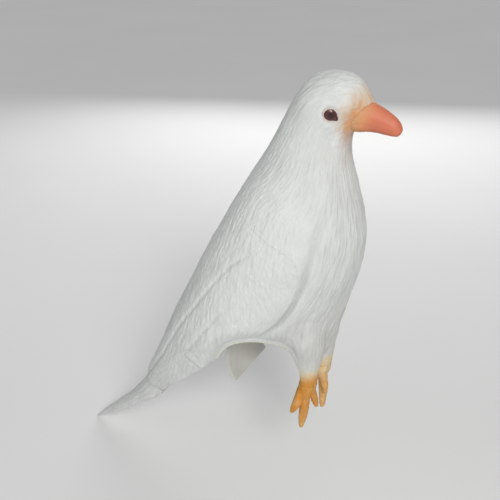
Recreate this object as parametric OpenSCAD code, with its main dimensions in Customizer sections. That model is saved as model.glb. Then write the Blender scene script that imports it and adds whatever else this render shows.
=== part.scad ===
// Perching bird decoy with lifting wings, clipped over a round rail.
// X forward, Y to the bird's left, Z up. Origin on the rail's axis in the bird's mid-plane.
// Most pieces are drawn in the leaned body frame, whose Z runs from tail to head along the back.
// Wherever resize([0, 0, 0]) appears, it leaves its child's size unchanged.

/* [Rail] */
// Diameter of the round rail the bird perches on
rail_d = 48.3; // [42:0.1:50]
// Radial clearance of the saddle clip on the rail
clip_clear = 0.1; // [0:0.05:0.3]
// Wall of the saddle clip
clip_t = 3.2; // [2.4:0.1:4]

/* [Body] */
// Forward lean of the body axis from upright
lean = 27.5; // [20:0.5:35]
// Wall thickness of the moulded body
skin = 2.4; // [1.8:0.1:3]
// Height of the breathing arch between the legs
crotch_z = 11; // [8:0.5:14]

/* [Wings] */
// Thickness of a wing panel
wing_t = 2.8; // [2.2:0.1:3.4]
// Gap around a wing panel
wing_gap = 0.6; // [0.4:0.1:1]
// Distance of a wing hinge from the mid-plane
hinge_y = 11; // [10:0.5:12]
// Depth line of the hinges behind the body axis
hinge_x = -65.8; // [-66.4:0.2:-65]
// Radius of the rolled wing root
root_r = 7.3; // [6.8:0.1:7.4]
// Hinge shaft diameter
shaft_d = 3; // [2.5:0.1:3]
// Height where the wing panels end at the shoulder
wing_top = 90; // [84:1:92]

/* [Drive] */
// Module of the sector and link gears
link_module = 1.0; // [1:0.1:1]
// Module of the reduction gears
drive_module = 0.8; // [0.8:0.1:0.8]
// Tooth backlash
backlash = 0.25; // [0.15:0.05:0.35]
// Running clearance of a shaft in its bearing
run_clear = 0.05; // [0.02:0.01:0.09]

/* [Battery] */
// Diameter of one cell
cell_d = 10.3; // [10:0.1:10.5]
// Length of one cell
cell_l = 44.2; // [43:0.1:44.6]

/* [Head] */
// Visible diameter of a glass eye
eye_d = 8; // [6:0.5:9]

/* [Hidden] */
clip_inner_r = rail_d / 2 + clip_clear;
clip_outer_r = clip_inner_r + clip_t;
shaft_r = shaft_d / 2;
sleeve_r = 4;
sleeve_z = -46.9;
bush_r = 2.95;
eye_x = -44.5;
eye_z = 165.7;

// Gear train: sector, link gear, reduction gear, motor pinion
pressure_angle = 25;
sector_teeth = 24;
link_teeth = 16;
wheel_teeth = 30;
pinion_teeth = 10;
link_y = link_teeth * link_module / 2;
link_reach = (sector_teeth + link_teeth) * link_module / 2;
link_x = hinge_x + sqrt(pow(link_reach, 2) - pow(hinge_y - link_y, 2));
link_angle = atan2(hinge_y - link_y, link_x - hinge_x);
drive_reach = (wheel_teeth + pinion_teeth) * drive_module / 2;
drive_angle = 30;
reduction_x = link_x + drive_reach * cos(drive_angle);
motor_x = reduction_x + drive_reach;
axle_r = 1.5;
thin_axle_r = 1;

// Heights in the gearbox
base_z = 93.5;
gear_z = base_z + 2.5;
wheel_z = base_z + 13.5;
cover_z = base_z + 16.6;
plate_t = 2;

// Screw places
mount_x = -55.2; // back face of the chassis and battery box
head_x = -63; // shank end of the screws into the back
tail_screw_z = [-63, -54];
battery_screw_z = -43.4;
chassis_screw_z = [44, 84];
clip_screw_y = [-6, 6];
clip_screw_z = 30;
deck_screw_x = -36;
deck_screw_y = [-11, 11];
board_screw_y = [-9.5, 9.5];
board_screw_z = [47, 77];

SHELL = [0.86, 0.87, 0.85];
DARK = [0.17, 0.18, 0.19];
GREY = [0.62, 0.63, 0.63];
PALE = [0.78, 0.78, 0.75];
IVORY = [0.85, 0.85, 0.80];
STEEL = [0.66, 0.67, 0.69];
BRASS = [0.78, 0.63, 0.32];
ORANGE = [0.90, 0.58, 0.26];
CORAL = [0.88, 0.48, 0.38];
RED_WIRE = [0.7, 0.12, 0.1];
BLACK_WIRE = [0.08, 0.08, 0.08];

// ---- Frames and shared shapes ----
module leaned() { rotate([0, lean, 0]) children(); }
// Back to upright axes inside leaned()
module level() { rotate([0, -lean, 0]) children(); }
module both() {
  children();
  mirror([0, 1, 0]) children();
}
// side: 1 left, -1 right
module on_side(side) {
  if (side > 0) children();
  else mirror([0, 1, 0]) children();
}
module rod_z(x, y, z0, z1, r, n = 48) {
  translate([x, y, z0]) cylinder(r = r, h = z1 - z0, $fn = n);
}
module rod_y(x, z, y0, y1, r, n = 64) {
  translate([x, y0, z]) rotate([-90, 0, 0]) cylinder(r = r, h = y1 - y0, $fn = n);
}
module rod_x(x0, x1, y, z, r, n = 32) {
  translate([x0, y, z]) rotate([0, 90, 0]) cylinder(r = r, h = x1 - x0, $fn = n);
}
module hinge_rod(z0, z1, r, n = 48) { rod_z(hinge_x, hinge_y, z0, z1, r, n); }
module box(x0, x1, y0, y1, z0, z1) {
  translate([x0, y0, z0]) cube([x1 - x0, y1 - y0, z1 - z0]);
}
// Box centred on the mid-plane
module mid_box(x0, x1, half_y, z0, z1) { box(x0, x1, -half_y, half_y, z0, z1); }
module peg(from, to, r) {
  axis = to - from;
  length = norm(axis);
  translate(from) rotate([0, acos(axis[2] / length), atan2(axis[1], axis[0])])
    cylinder(r = r, h = length, $fn = 28);
}
// Cross-slotted screw, point at the origin
module screw(shank_r, length, head_r, head_h) {
  slot = head_r * 0.7;
  cylinder(r = shank_r, h = length, $fn = 24);
  translate([0, 0, length]) difference() {
    cylinder(r = head_r, h = head_h, $fn = 32);
    translate([-slot, -0.3, head_h * 0.5]) cube([head_r * 1.4, 0.6, head_h]);
    translate([-0.3, -slot, head_h * 0.5]) cube([0.6, head_r * 1.4, head_h]);
  }
}
module screw_x(point, shank_r, length, head_r, head_h) {
  translate(point) rotate([0, 90, 0]) screw(shank_r, length, head_r, head_h);
}
// Faces joining equal rings of n points, closed at both ends
function loft_faces(rings, n) = concat(
  [for (i = [0:rings - 2], j = [0:n - 1]) let (k = (j + 1) % n)
    [i * n + j, (i + 1) * n + j, (i + 1) * n + k, i * n + k]],
  [[for (j = [0:n - 1]) j], [for (j = [0:n - 1]) rings * n - 1 - j]]);
// Ellipses from the top down: height, centre x, centre y, half depth, half width
module ellipse_stack(rows, n = 38) {
  points = [for (row = rows, j = [0:n - 1]) let (t = 360 * j / n)
    [row[1] + row[3] * cos(t), row[2] + row[4] * sin(t), row[0]]];
  faces = [for (f = loft_faces(len(rows), n)) [for (i = [len(f) - 1:-1:0]) f[i]]];
  polyhedron(points = points, faces = faces, convexity = 4);
}

// ---- Body form ----
// Height, back, breast, half width, widest point, back roundness, breast roundness
BODY = [
  [-76, -71, -44, 22, 0.42, 2.2, 2.0],
  [-60, -71.5, -22, 30, 0.42, 2.2, 2.0],
  [-35, -72.5, 10, 39.5, 0.42, 2.2, 2.0],
  [-10, -74, 24, 45, 0.42, 2.2, 1.6],
  [15, -74, 28, 48, 0.40, 2.2, 1.5],
  [40, -74, 25, 48, 0.40, 2.2, 1.6],
  [65, -73.5, 19.5, 47, 0.43, 2.2, 1.8],
  [90, -73, 13.5, 43, 0.46, 2.2, 2.0],
  [110, -72, 4, 36, 0.48, 2.2, 2.0],
  [128, -71.5, -11.5, 28, 0.48, 2.1, 2.0],
  [142, -71.5, -24, 22.5, 0.48, 2.1, 2.0],
  [153, -71.5, -31, 20.5, 0.48, 2.1, 2.0],
  [164, -70.5, -34, 20, 0.48, 2.1, 2.1],
  [173, -68.3, -33.3, 17.8, 0.48, 2.1, 2.1],
  [178, -64.8, -33.8, 14.8, 0.48, 2.0, 2.0],
  [182, -59.5, -37.5, 10.5, 0.48, 2.0, 2.0],
  [185.4, -53.5, -43.5, 4.5, 0.48, 2.0, 2.0]];
BODY_ROWS = len(BODY);
BODY_HEIGHTS = concat([for (i = [0:19]) -76 + i * 12],
  [161, 168, 173, 177, 180, 182.5, 184.3, 185.4]);

// Smooth curve through one column of BODY
function rise(i) = BODY[i + 1][0] - BODY[i][0];
function slope(col, i) = (BODY[i + 1][col] - BODY[i][col]) / rise(i);
function tangent(col, i) = i <= 0 ? slope(col, 0)
  : i >= BODY_ROWS - 1 ? slope(col, BODY_ROWS - 2)
  : (slope(col, i - 1) * rise(i) + slope(col, i) * rise(i - 1)) / (rise(i - 1) + rise(i));
function row_below(z, i = 0) =
  i >= BODY_ROWS - 2 || z < BODY[i + 1][0] ? i : row_below(z, i + 1);
function body_at(col, z) =
  let (i = row_below(z), h = rise(i), t = (z - BODY[i][0]) / h, t2 = t * t, t3 = t2 * t)
  (2 * t3 - 3 * t2 + 1) * BODY[i][col] + (t3 - 2 * t2 + t) * h * tangent(col, i)
  + (3 * t2 - 2 * t3) * BODY[i + 1][col] + (t3 - t2) * h * tangent(col, i + 1);
function signed_pow(v, e) = sign(v) * pow(abs(v), e);
// One superellipse section, depth below the surface
function body_ring(z, depth, n) =
  let (
    back = body_at(1, z) + depth,
    breast = max(body_at(2, z) - depth, back + 0.5),
    half_w = max(body_at(3, z) - depth, 0.3),
    mid = back + (breast - back) * body_at(4, z),
    back_round = body_at(5, z),
    breast_round = body_at(6, z))
  [for (j = [0:n - 1])
    let (t = 360 * j / n, c = cos(t), e = 2 / (c > 0 ? breast_round : back_round))
    [mid + (c > 0 ? breast - mid : mid - back) * signed_pow(c, e),
      half_w * signed_pow(sin(t), e)]];
// Heights above the neck are squeezed so that the crown also sinks by depth
neck_z = 150;
crown_h = 35.4;
function sunk_z(z, depth) =
  z < neck_z ? z : neck_z + (z - neck_z) * (crown_h - depth) / crown_h;
module body_solid(depth) {
  n = 28;
  points = [for (z = BODY_HEIGHTS) for (p = body_ring(z, depth, n))
    [p[0], p[1], sunk_z(z, depth)]];
  polyhedron(points = points, faces = loft_faces(len(BODY_HEIGHTS), n), convexity = 6);
}

// Wing outline seen from the side: x, z
WING = [[-95, wing_top], [-24, wing_top], [-16, wing_top - 2], [-11, wing_top - 8],
  [-7, 72], [-5, 58], [-5.5, 45], [-8.5, 34.5], [-11.5, 29], [-16, 26], [-21, 22],
  [-25.5, 15.5], [-28.5, 7], [-34, 0], [-41, -6.5], [-47, -13], [-53, -26], [-58, -42],
  [-63, -58], [-66, -67.2], [-95, -67.2]];
module wing_prism(margin, inner_y) {
  outer_y = 100;
  translate([0, outer_y, 0]) rotate([90, 0, 0]) linear_extrude(outer_y - inner_y)
    offset(delta = margin) polygon(WING);
}
// Region cut from the underside of the body: x, z
UNDERSIDE = [[0, 0], [-24.6, 2.1], [-28.8, -7.8], [-33.1, -20.3], [-40, -38.2],
  [-46.6, -56.3], [-49.7, -69.5], [-51, -80], [-100, -80], [-100, -120], [40, -120], [40, 0]];
module underside_cut() {
  translate([0, 90, 0]) rotate([90, 0, 0]) linear_extrude(180) polygon(UNDERSIDE);
}
// Beak stations: x, centre z, half width, half height
BEAK = [[40.5, 165.4, 10.2, 8.8], [44, 165.6, 10.5, 9], [48, 165.7, 10.3, 8.7],
  [54, 165.3, 9.5, 7.7], [60, 163.8, 8.1, 6.4], [65, 162.1, 6.8, 5.3],
  [69.5, 160.2, 5.5, 4.2], [72, 158.9, 3.2, 2.8], [73, 158.5, 1.1, 1]];
module beak_solid(margin) {
  n = 28;
  points = [for (row = BEAK, j = [0:n - 1]) let (t = 360 * j / n)
    [row[0], (row[3] + margin) * cos(t), row[1] + (row[2] + margin) * sin(t)]];
  polyhedron(points = points, faces = loft_faces(len(BEAK), n), convexity = 4);
}
// Thigh and shank under the belly, as ellipse_stack rows
LEG = [[25, 26, 12.2, 8.2, 10], [18, 29.3, 11.4, 8.2, 10.4], [10.8, 30.2, 11.2, 7, 9.8],
  [4, 29.7, 11.8, 6.3, 9.1], [-2, 29.3, 12.3, 5.8, 8.5], [-9.4, 27.9, 12.9, 5.6, 8]];

// ---- Body shell ----
recess_depth = 3.8; // wing recess floor, below the surface
module body_walls() {
  difference() {
    body_solid(0);
    translate([0, 0, -0.01]) body_solid(skin);
  }
  // floors of the wing recesses
  both() intersection() {
    difference() {
      body_solid(recess_depth);
      body_solid(5.6);
    }
    wing_prism(2, hinge_y);
  }
  // walls round the hinge channels
  both() intersection() {
    hinge_rod(-70.5, wing_top + 2.8, root_r + wing_gap + 1.8);
    body_solid(0.3);
  }
  // spine between the hinges
  intersection() {
    mid_box(-80, -56.3, 4.6, -70.9, wing_top + 2.5);
    body_solid(0.33);
  }
}
module hinge_cuts() {
  difference() {
    wing_prism(0, hinge_y);
    body_solid(recess_depth);
  }
  hinge_rod(-66.95, wing_top + 0.5, root_r + wing_gap, 72);
  hinge_rod(base_z - 0.9, base_z + 20, 3.3, 40);
  hinge_rod(80, 100, shaft_r + 0.6, 32);
  hinge_rod(-72, -60, bush_r + 0.1, 64);
}
module leg_arch_cut() {
  hull() {
    rod_x(0, 90, 0, crotch_z - 2.4, 2.4, 40);
    rod_x(0, 90, 0, -20, 7.4, 40);
  }
  intersection() {
    rod_y(0, 0, -7, 7, clip_outer_r + 0.5, 96);
    mid_box(0, 60, 20, -60, 22);
  }
  mid_box(-5, 90, 90, -90, -9);
}
module body_shell() color(SHELL) leaned() resize([0, 0, 0]) difference() {
  union() {
    difference() {
      union() body_walls();
      level() mid_box(0, 90, 90, -90, 3);
    }
    both() level() ellipse_stack(LEG);
  }
  both() hinge_cuts();
  underside_cut();
  mid_box(-100, 60, 60, -140, -70);
  level() leg_arch_cut();
  // rail
  rod_y(0, 0, -90, 90, rail_d / 2 + 0.45, 96);
  level() beak_solid(0.14);
  both() rod_y(eye_x, eye_z, 10, 26, eye_d / 2 + 0.15, 40);
  // screw pilots
  for (z = concat(tail_screw_z, battery_screw_z, chassis_screw_z))
    rod_x(-66, -55, 0, z, 1.15, 24);
  // foot peg holes
  both() level() peg([28, 13, -9.6], [29.6, 12.4, 4], 2.1);
}

// ---- Wings and hinges ----
module wing_panel(side) color(SHELL) leaned() on_side(side) resize([0, 0, 0]) difference() {
  union() {
    intersection() {
      difference() {
        body_solid(0);
        body_solid(wing_t);
      }
      wing_prism(-wing_gap, hinge_y + 0.37);
    }
    // rolled root
    intersection() {
      hinge_rod(-66.5, wing_top - wing_gap - 0.15, root_r, 64);
      body_solid(0);
    }
  }
  hinge_rod(sleeve_z - 0.1, 100, sleeve_r + 0.1);
  hinge_rod(-75, 0, shaft_r + 0.08);
}
module wing_right() wing_panel(-1);
module wing_left() wing_panel(1);

module sleeve(side) color(GREY) leaned() on_side(side) difference() {
  hinge_rod(sleeve_z, wing_top - 1, sleeve_r);
  hinge_rod(-58, wing_top, shaft_r);
}
module wing_sleeve_right() sleeve(-1);
module wing_sleeve_left() sleeve(1);

module hinge_shaft(side) color(STEEL) leaned() on_side(side) hinge_rod(-69.9, 113, shaft_r);
module wing_shaft_right() hinge_shaft(-1);
module wing_shaft_left() hinge_shaft(1);

module wing_bushes() color(BRASS) leaned() both() difference() {
  hinge_rod(-70, -67.1, bush_r);
  hinge_rod(-72, -60, shaft_r + run_clear);
}

// ---- Gears ----
function involute(a) = tan(a) * 180 / PI - a;
function polar(r, a) = [r * cos(a), r * sin(a)];
// Half the angle a tooth covers at radius r
function half_angle(r, pitch_r, teeth) =
  90 / teeth - backlash / 4 / pitch_r * 180 / PI + involute(pressure_angle)
  - involute(acos(min(1, pitch_r * cos(pressure_angle) / r)));
// Outline of one tooth centred on angle a
function tooth(teeth, size, a) =
  let (
    pitch_r = teeth * size / 2,
    tip_r = pitch_r + 0.85 * size,
    foot_r = pitch_r - 1.2 * size,
    flank_r = max(pitch_r * cos(pressure_angle) + 0.01, foot_r + 0.15 * size),
    radii = [for (k = [0:3]) flank_r + (tip_r - flank_r) * k / 3],
    halves = [for (r = radii) half_angle(r, pitch_r, teeth)])
  concat([polar(foot_r, a - halves[0])],
    [for (k = [0:3]) polar(radii[k], a - halves[k])],
    [for (k = [3:-1:0]) polar(radii[k], a + halves[k])],
    [polar(foot_r, a + halves[0])]);
module gear(teeth, size, phase, h) {
  linear_extrude(h)
    polygon([for (i = [0:teeth - 1]) each tooth(teeth, size, phase + i * 360 / teeth)]);
}
// Phase of a gear of n2 teeth meshing with one of n1 teeth lying back along angle dir
function mate(phase, n1, n2, dir) = dir + 180 - (phase - dir) * n1 / n2 + 180 / n2;
// Tooth phases round the train, starting from the right-hand sector
sector_r_phase = link_angle;
link_r_phase = mate(sector_r_phase, sector_teeth, link_teeth, link_angle);
link_l_phase = mate(link_r_phase, link_teeth, link_teeth, 90);
sector_l_phase = mate(link_l_phase, link_teeth, sector_teeth, 180 - link_angle);

// Toothed sector from angle lo to hi, with a hub and a boss at boss_z
module sector(phase, lo, hi, boss_z, boss_h) {
  h = 3.5;
  first = ceil((lo - phase) * sector_teeth / 360);
  last = floor((hi - phase) * sector_teeth / 360);
  difference() {
    union() {
      linear_extrude(h) polygon(concat([[0, 0]], [for (i = [first:last])
        each tooth(sector_teeth, link_module, phase + i * 360 / sector_teeth)]));
      cylinder(r = 2.9, h = h, $fn = 48);
      translate([0, 0, boss_z]) cylinder(r = 2.5, h = boss_h, $fn = 48);
    }
    translate([0, 0, min(boss_z, 0) - 1]) cylinder(r = shaft_r, h = 20, $fn = 48);
  }
}
module sector_right() color(DARK) leaned() translate([hinge_x, -hinge_y, gear_z])
  sector(sector_r_phase, link_angle - 20, link_angle + 60, 3.5, 6);
module sector_left() color(DARK) leaned() translate([hinge_x, hinge_y, gear_z + 4])
  sector(sector_l_phase, -link_angle - 60, -link_angle + 20, -4, 4);

module link_bore() {
  translate([0, 0, -1]) cylinder(r = axle_r + run_clear, h = 20, $fn = 48);
}
module link_gear_right() color(IVORY) leaned() translate([link_x, -link_y, gear_z]) difference() {
  union() {
    gear(link_teeth, link_module, link_r_phase, 3.5);
    cylinder(r = 4, h = 8, $fn = 48);
    translate([0, 0, 8]) gear(wheel_teeth, drive_module, 0, 2.5);
  }
  link_bore();
}
module link_gear_left() color(IVORY) leaned() translate([link_x, link_y, gear_z]) difference() {
  gear(link_teeth, link_module, link_l_phase, 7.5);
  link_bore();
}
module reduction_gear() color([0.80, 0.82, 0.84]) leaned() translate([reduction_x, 0, 0])
  difference() {
    union() {
      translate([0, 0, wheel_z - 3.2]) gear(pinion_teeth, drive_module,
        mate(0, wheel_teeth, pinion_teeth, drive_angle), 3.2);
      translate([0, 0, wheel_z]) gear(wheel_teeth, drive_module, 0, 2.3);
    }
    rod_z(0, 0, base_z, base_z + 20, thin_axle_r + run_clear);
  }
module gear_axles() color(STEEL) leaned() {
  z0 = base_z + 0.2;
  z1 = base_z + 18.3;
  for (y = [-link_y, link_y]) rod_z(link_x, y, z0, z1, axle_r);
  rod_z(reduction_x, 0, z0, z1, thin_axle_r);
}

// ---- Motor ----
module motor_rotor() color(STEEL) leaned() {
  rod_z(motor_x, 0, 72, base_z + 16.2, thin_axle_r);
  translate([motor_x, 0, wheel_z]) difference() {
    gear(pinion_teeth, drive_module, mate(0, wheel_teeth, pinion_teeth, 0), 2.3);
    translate([0, 0, -1]) cylinder(r = thin_axle_r, h = 9, $fn = 48);
  }
}
// Round motor section with flats front and back
module motor_form(z0, z1, r, flat_x, half_y = 10) {
  intersection() {
    rod_z(motor_x, 0, z0, z1, r, 64);
    mid_box(motor_x - flat_x, motor_x + flat_x, half_y, 60, 100);
  }
}
module motor_can() color(STEEL) leaned() difference() {
  union() {
    motor_form(68.5, base_z - 0.8, 10, 7.5);
    rod_z(motor_x, 0, base_z - 1, base_z + 0.6, 2.4);
  }
  rod_z(motor_x, 0, 70, base_z + 2, thin_axle_r + run_clear);
}
module motor_endcap() color([0.92, 0.92, 0.88]) leaned() difference() {
  motor_form(64, 68.4, 9.8, 7.3);
  for (y = [-6, 6]) box(motor_x - 1.5, motor_x + 1.5, y - 0.4, y + 0.4, 60, 66);
}
module motor_strap() color(DARK) leaned() difference() {
  mid_box(motor_x - 9.6, motor_x + 9.6, 12.1, 76, 82);
  motor_form(70, 90, 10.05, 7.55, 12);
}

// ---- Gearbox ----
// Plate outline: x, y
PLATE = [[-67, -9], [-62, -13.2], [-56, -20], [-46, -21.5], [-28, -20.5], [-14, -14], [-6, -8],
  [-6, 8], [-14, 14], [-28, 20.5], [-46, 21.5], [-56, 20], [-62, 13.2], [-67, 9]];
// Pillar centres: four screwed, then a slim plain one at the back
PILLARS = [[-30, 17], [-30, -17], [-13, 10], [-13, -10], [-67.2, 0]];
module gearbox_plate(z) {
  translate([0, 0, z]) linear_extrude(plate_t) {
    polygon(PLATE);
    for (y = [-hinge_y, hinge_y]) translate([hinge_x, y]) circle(r = 2.6, $fn = 40);
  }
}
// Shaft and axle holes of either plate
module plate_bores(z0, z1) {
  for (y = [-hinge_y, hinge_y]) rod_z(hinge_x, y, z0, z1, shaft_r + run_clear);
  for (y = [-link_y, link_y]) rod_z(link_x, y, z0, z1, axle_r);
  rod_z(reduction_x, 0, z0, z1, thin_axle_r);
}
module pillar_bores(z0, z1, r) {
  for (i = [0:3]) rod_z(PILLARS[i][0], PILLARS[i][1], z0, z1, r, 24);
}
module gearbox_base() color(GREY) leaned() difference() {
  union() {
    gearbox_plate(base_z);
    for (p = PILLARS) rod_z(p[0], p[1], base_z + 1, base_z + 16.5, p[0] < -60 ? 1.8 : 2.4, 32);
  }
  plate_bores(base_z - 1, base_z + 3);
  rod_z(motor_x, 0, base_z - 1, base_z + 3, 2.5);
  pillar_bores(base_z + 8, base_z + 17, 1);
  for (y = deck_screw_y) rod_z(deck_screw_x, y, base_z - 1, base_z + 3, 1.1, 24);
}
module gearbox_cover() color(GREY) leaned() difference() {
  gearbox_plate(cover_z);
  plate_bores(base_z + 16, base_z + 20);
  pillar_bores(base_z + 16, base_z + 20, 1.1);
}
module gearbox_screws() color(STEEL) leaned() for (i = [0:3])
  translate([PILLARS[i][0], PILLARS[i][1], base_z + 9.6]) screw(0.95, 9, 1.9, 1.3);

// ---- Chassis ----
module chassis() color(PALE) leaned() difference() {
  half_w = 15;
  deck_z = 90.4;
  union() {
    mid_box(mount_x, -52.2, half_w, 14.2, deck_z);
    mid_box(mount_x, -29, half_w, deck_z, 93.3);
    both() box(-52.3, -30, 13, half_w, 82, 90.5);
    both() box(-52.3, motor_x + 9, 12.3, half_w, 76, 82);
  }
  for (z = chassis_screw_z) rod_x(-56, -51, 0, z, 1.4, 24);
  for (y = clip_screw_y) rod_x(-56, -51, y, clip_screw_z, 1.3, 24);
  for (y = deck_screw_y) rod_z(deck_screw_x, y, 90, 94, 1.2, 24);
  for (y = board_screw_y, z = board_screw_z) rod_x(-56, -51, y, z, 0.95, 24);
  both() rod_z(link_x, link_y, 90, 95, 2);
  rod_z(reduction_x, 0, 90, 95, 2.2);
}
module chassis_screws() color(STEEL) leaned()
  for (z = chassis_screw_z) screw_x([head_x, 0, z], 1.1, 10.9, 2.6, 1.8);
module drive_screws() color(STEEL) leaned() for (y = deck_screw_y)
  translate([deck_screw_x, y, base_z + 1.8]) rotate([180, 0, 0]) screw(1, 5, 2, 1.4);

// ---- Rail clip ----
clip_half_l = 24;
clip_cut_z = 20.5; // level height of the clip's front cuts and the pads' lower edge
module saddle_clip() color(PALE) leaned() difference() {
  union() {
    difference() {
      rod_y(0, 0, -clip_half_l, clip_half_l, clip_outer_r, 96);
      // leaves a narrow tongue at the front
      level() {
        box(0, 60, -30, -6.4, -60, clip_cut_z);
        box(0, 60, 6.4, 30, -60, clip_cut_z);
      }
    }
    both() box(-51, -10, 9, 12, 17, 27.5);
    mid_box(-52, -49, 13, 14.2, 36);
  }
  rod_y(0, 0, -50, 50, clip_inner_r, 96);
  level() mid_box(-14, 60, 30, -60, -3.5);
  level() mid_box(-60, 60, 30, -60, -15);
  for (y = clip_screw_y) rod_x(-53, -48, y, clip_screw_z, 1.4, 24);
}
module clip_screws() color(STEEL) leaned()
  for (y = clip_screw_y) screw_x([-55, y, clip_screw_z], 1.2, 6.1, 2.4, 1.6);
module clip_pads() color([0.1, 0.1, 0.1]) leaned() both() difference() {
  rod_y(0, 0, clip_half_l + 0.1, 26.2, clip_outer_r, 96);
  rod_y(0, 0, 20, 30, clip_inner_r, 96);
  level() mid_box(-60, 60, 40, -60, clip_cut_z);
}

// ---- Battery box, on the underside behind the rail ----
case_z0 = -40;
case_z1 = 11.5;
case_wall = 1.4;
cell_x = -48.2;
cell_pitch = cell_d + 1;
module battery_box() color(PALE) leaned() difference() {
  union() {
    mid_box(mount_x, -40.6, 20.6, case_z0, case_z1);
    mid_box(mount_x, -53, 6, -47, case_z0 + 1);
    mid_box(mount_x, -52.5, 10, case_z1 - 1, 14);
  }
  mid_box(-54, -35, 17.6, case_z0 + case_wall, case_z1 - case_wall);
  // door slide
  mid_box(-42.2, -41.2, 19.6, case_z0 - 2, case_z1 - case_wall);
  mid_box(-41.3, -35, 18.4, case_z0 - 2, case_z1 - case_wall);
  rod_x(-56, -50, 0, battery_screw_z, 1.4, 24);
}
module battery_screw() color(STEEL) leaned()
  screw_x([head_x, 0, battery_screw_z], 1.1, 10.1, 2.4, 1.6);
// The middle cell is turned end for end
module battery_cells() leaned() for (i = [-1:1])
  translate([cell_x, i * cell_pitch, case_z0 + (i == 0 ? 3.9 : 2.5)]) {
    color([0.20, 0.35, 0.30]) cylinder(r = cell_d / 2, h = cell_l - 1, $fn = 48);
    color(STEEL) translate([0, 0, i == 0 ? -0.9 : cell_l - 1])
      cylinder(r = 1.9, h = 0.9, $fn = 32);
  }
module battery_springs() color(STEEL) leaned() for (i = [-1:1])
  translate([cell_x, i * cell_pitch, i == 0 ? case_z1 - 4.15 : case_z0 + 1.7]) difference() {
    cylinder(r = 3, h = i == 0 ? 2.4 : 0.7, $fn = 32);
    translate([0, 0, -1]) cylinder(r = 2.2, h = 5, $fn = 32);
  }
module battery_contacts() color(BRASS) leaned()
  for (i = [-1:1], z = [case_z0 + case_wall, case_z1 - 1.7])
    box(cell_x - 3.5, cell_x + 3.5, i * cell_pitch - 4, i * cell_pitch + 4, z, z + 0.25);
module battery_door() color(SHELL * 0.9) leaned() union() {
  mid_box(-42.05, -39.4, 18.2, case_z0 - 1, case_z1 - 1.6);
  mid_box(-42.05, -41.35, 19.4, case_z0 - 1, case_z1 - 1.6);
  // grip ribs
  for (i = [0:3]) mid_box(-39.5, -38.7, 8, -30 + i * 3, -28.8 + i * 3);
}

// ---- Switch, board and leads ----
module switch_housing() color([0.25, 0.26, 0.28]) leaned() difference() {
  mid_box(-48.9, -42.5, 7, 15, 23);
  mid_box(-47, -42, 5, 17, 21);
}
module switch_knob() color([0.75, 0.16, 0.12]) leaned() union() {
  box(-46.9, -43.4, -4.9, 1.9, 17.05, 20.95);
  box(-43.5, -40.4, -3.1, 0.1, 17.5, 20.5);
}
board_back = -48.4;
board_face = -46.8;
part_x = board_face + 0.1; // back of the parts on the board
module control_board() color([0.12, 0.38, 0.22]) leaned() difference() {
  mid_box(board_back, board_face, 12, 42, 81);
  for (y = board_screw_y, z = board_screw_z) rod_x(-50, -45, y, z, 1.1, 24);
}
module board_spacers() color([0.9, 0.9, 0.86]) leaned()
  for (y = board_screw_y, z = board_screw_z) difference() {
    rod_x(-52.1, board_back - 0.05, y, z, 2.2);
    rod_x(-53, -47, y, z, 1.05, 24);
  }
module board_screws() color(STEEL) leaned()
  for (y = board_screw_y, z = board_screw_z) screw_x([-55, y, z], 0.9, 8.25, 1.9, 1.2);
module board_chip() color(DARK) leaned() union() {
  mid_box(part_x, -44.9, 4, 60, 69);
  // legs
  for (i = [0:4]) both() box(part_x, -46.2, 4, 5.4, 61 + i * 1.7, 61.6 + i * 1.7);
}
module board_capacitor() color([0.15, 0.18, 0.35]) leaned()
  rod_x(part_x, -37.5, -3, 74, 3.1, 40);
module board_terminal() color([0.2, 0.45, 0.65]) leaned() difference() {
  mid_box(part_x, -39.5, 5.5, 44, 50);
  for (y = [-2.6, 2.6]) rod_x(-42, -39, y, 47, 1.6, 24);
}
module lead(path) {
  for (i = [0:len(path) - 2]) hull() {
    translate(path[i]) sphere(r = 0.75, $fn = 10);
    translate(path[i + 1]) sphere(r = 0.75, $fn = 10);
  }
}
module motor_leads() leaned() resize([0, 0, 0]) union() for (s = [-1, 1])
  color(s > 0 ? RED_WIRE : BLACK_WIRE)
    lead([[-38.5, s * 2.6, 47], [motor_x, s * 4.2, 52], [motor_x, s * 6, 63.2]]);
module battery_leads() leaned() resize([0, 0, 0]) union() for (s = [-1, 1])
  color(s > 0 ? RED_WIRE : BLACK_WIRE)
    lead([[-50, s * 15.8, 12.4], [-50, s * 15.8, 38], [-47.6, s * 13, 44]]);

// ---- Tail: an arched feather fan on a screwed tongue ----
// Height, crest x, rim x, half width
TAIL = [[-70.5, -69.6, -50.2, 25.2], [-78, -69.7, -52.8, 23.2], [-86.7, -70.3, -56, 21.4],
  [-98, -72.3, -62, 18], [-112.7, -76, -68, 14.2], [-132, -83, -77.8, 9],
  [-146, -87.8, -85.2, 4.8], [-155, -91, -89.9, 1.6]];
function arch_point(crest, rim, half_w, t, z) =
  [rim + (crest - rim) * cos(t), half_w * sin(t), z];
module tail_fan() {
  n = 16;
  points = [for (row = TAIL)
    let (z = row[0], crest = row[1], rim = row[2], half_w = row[3],
      inner_w = max(half_w - 2, half_w * 0.4), inner_crest = min(crest + 2.2, rim - 0.3))
    each concat(
      [for (j = [0:n]) arch_point(crest, rim, half_w, -90 + 180 * j / n, z)],
      [for (j = [n:-1:0]) [0.3, 0, 0]
        + arch_point(inner_crest, rim + 0.01, inner_w, -90 + 180 * j / n, z)])];
  polyhedron(points = points, faces = loft_faces(len(TAIL), 2 * n + 2), convexity = 8);
}
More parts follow.
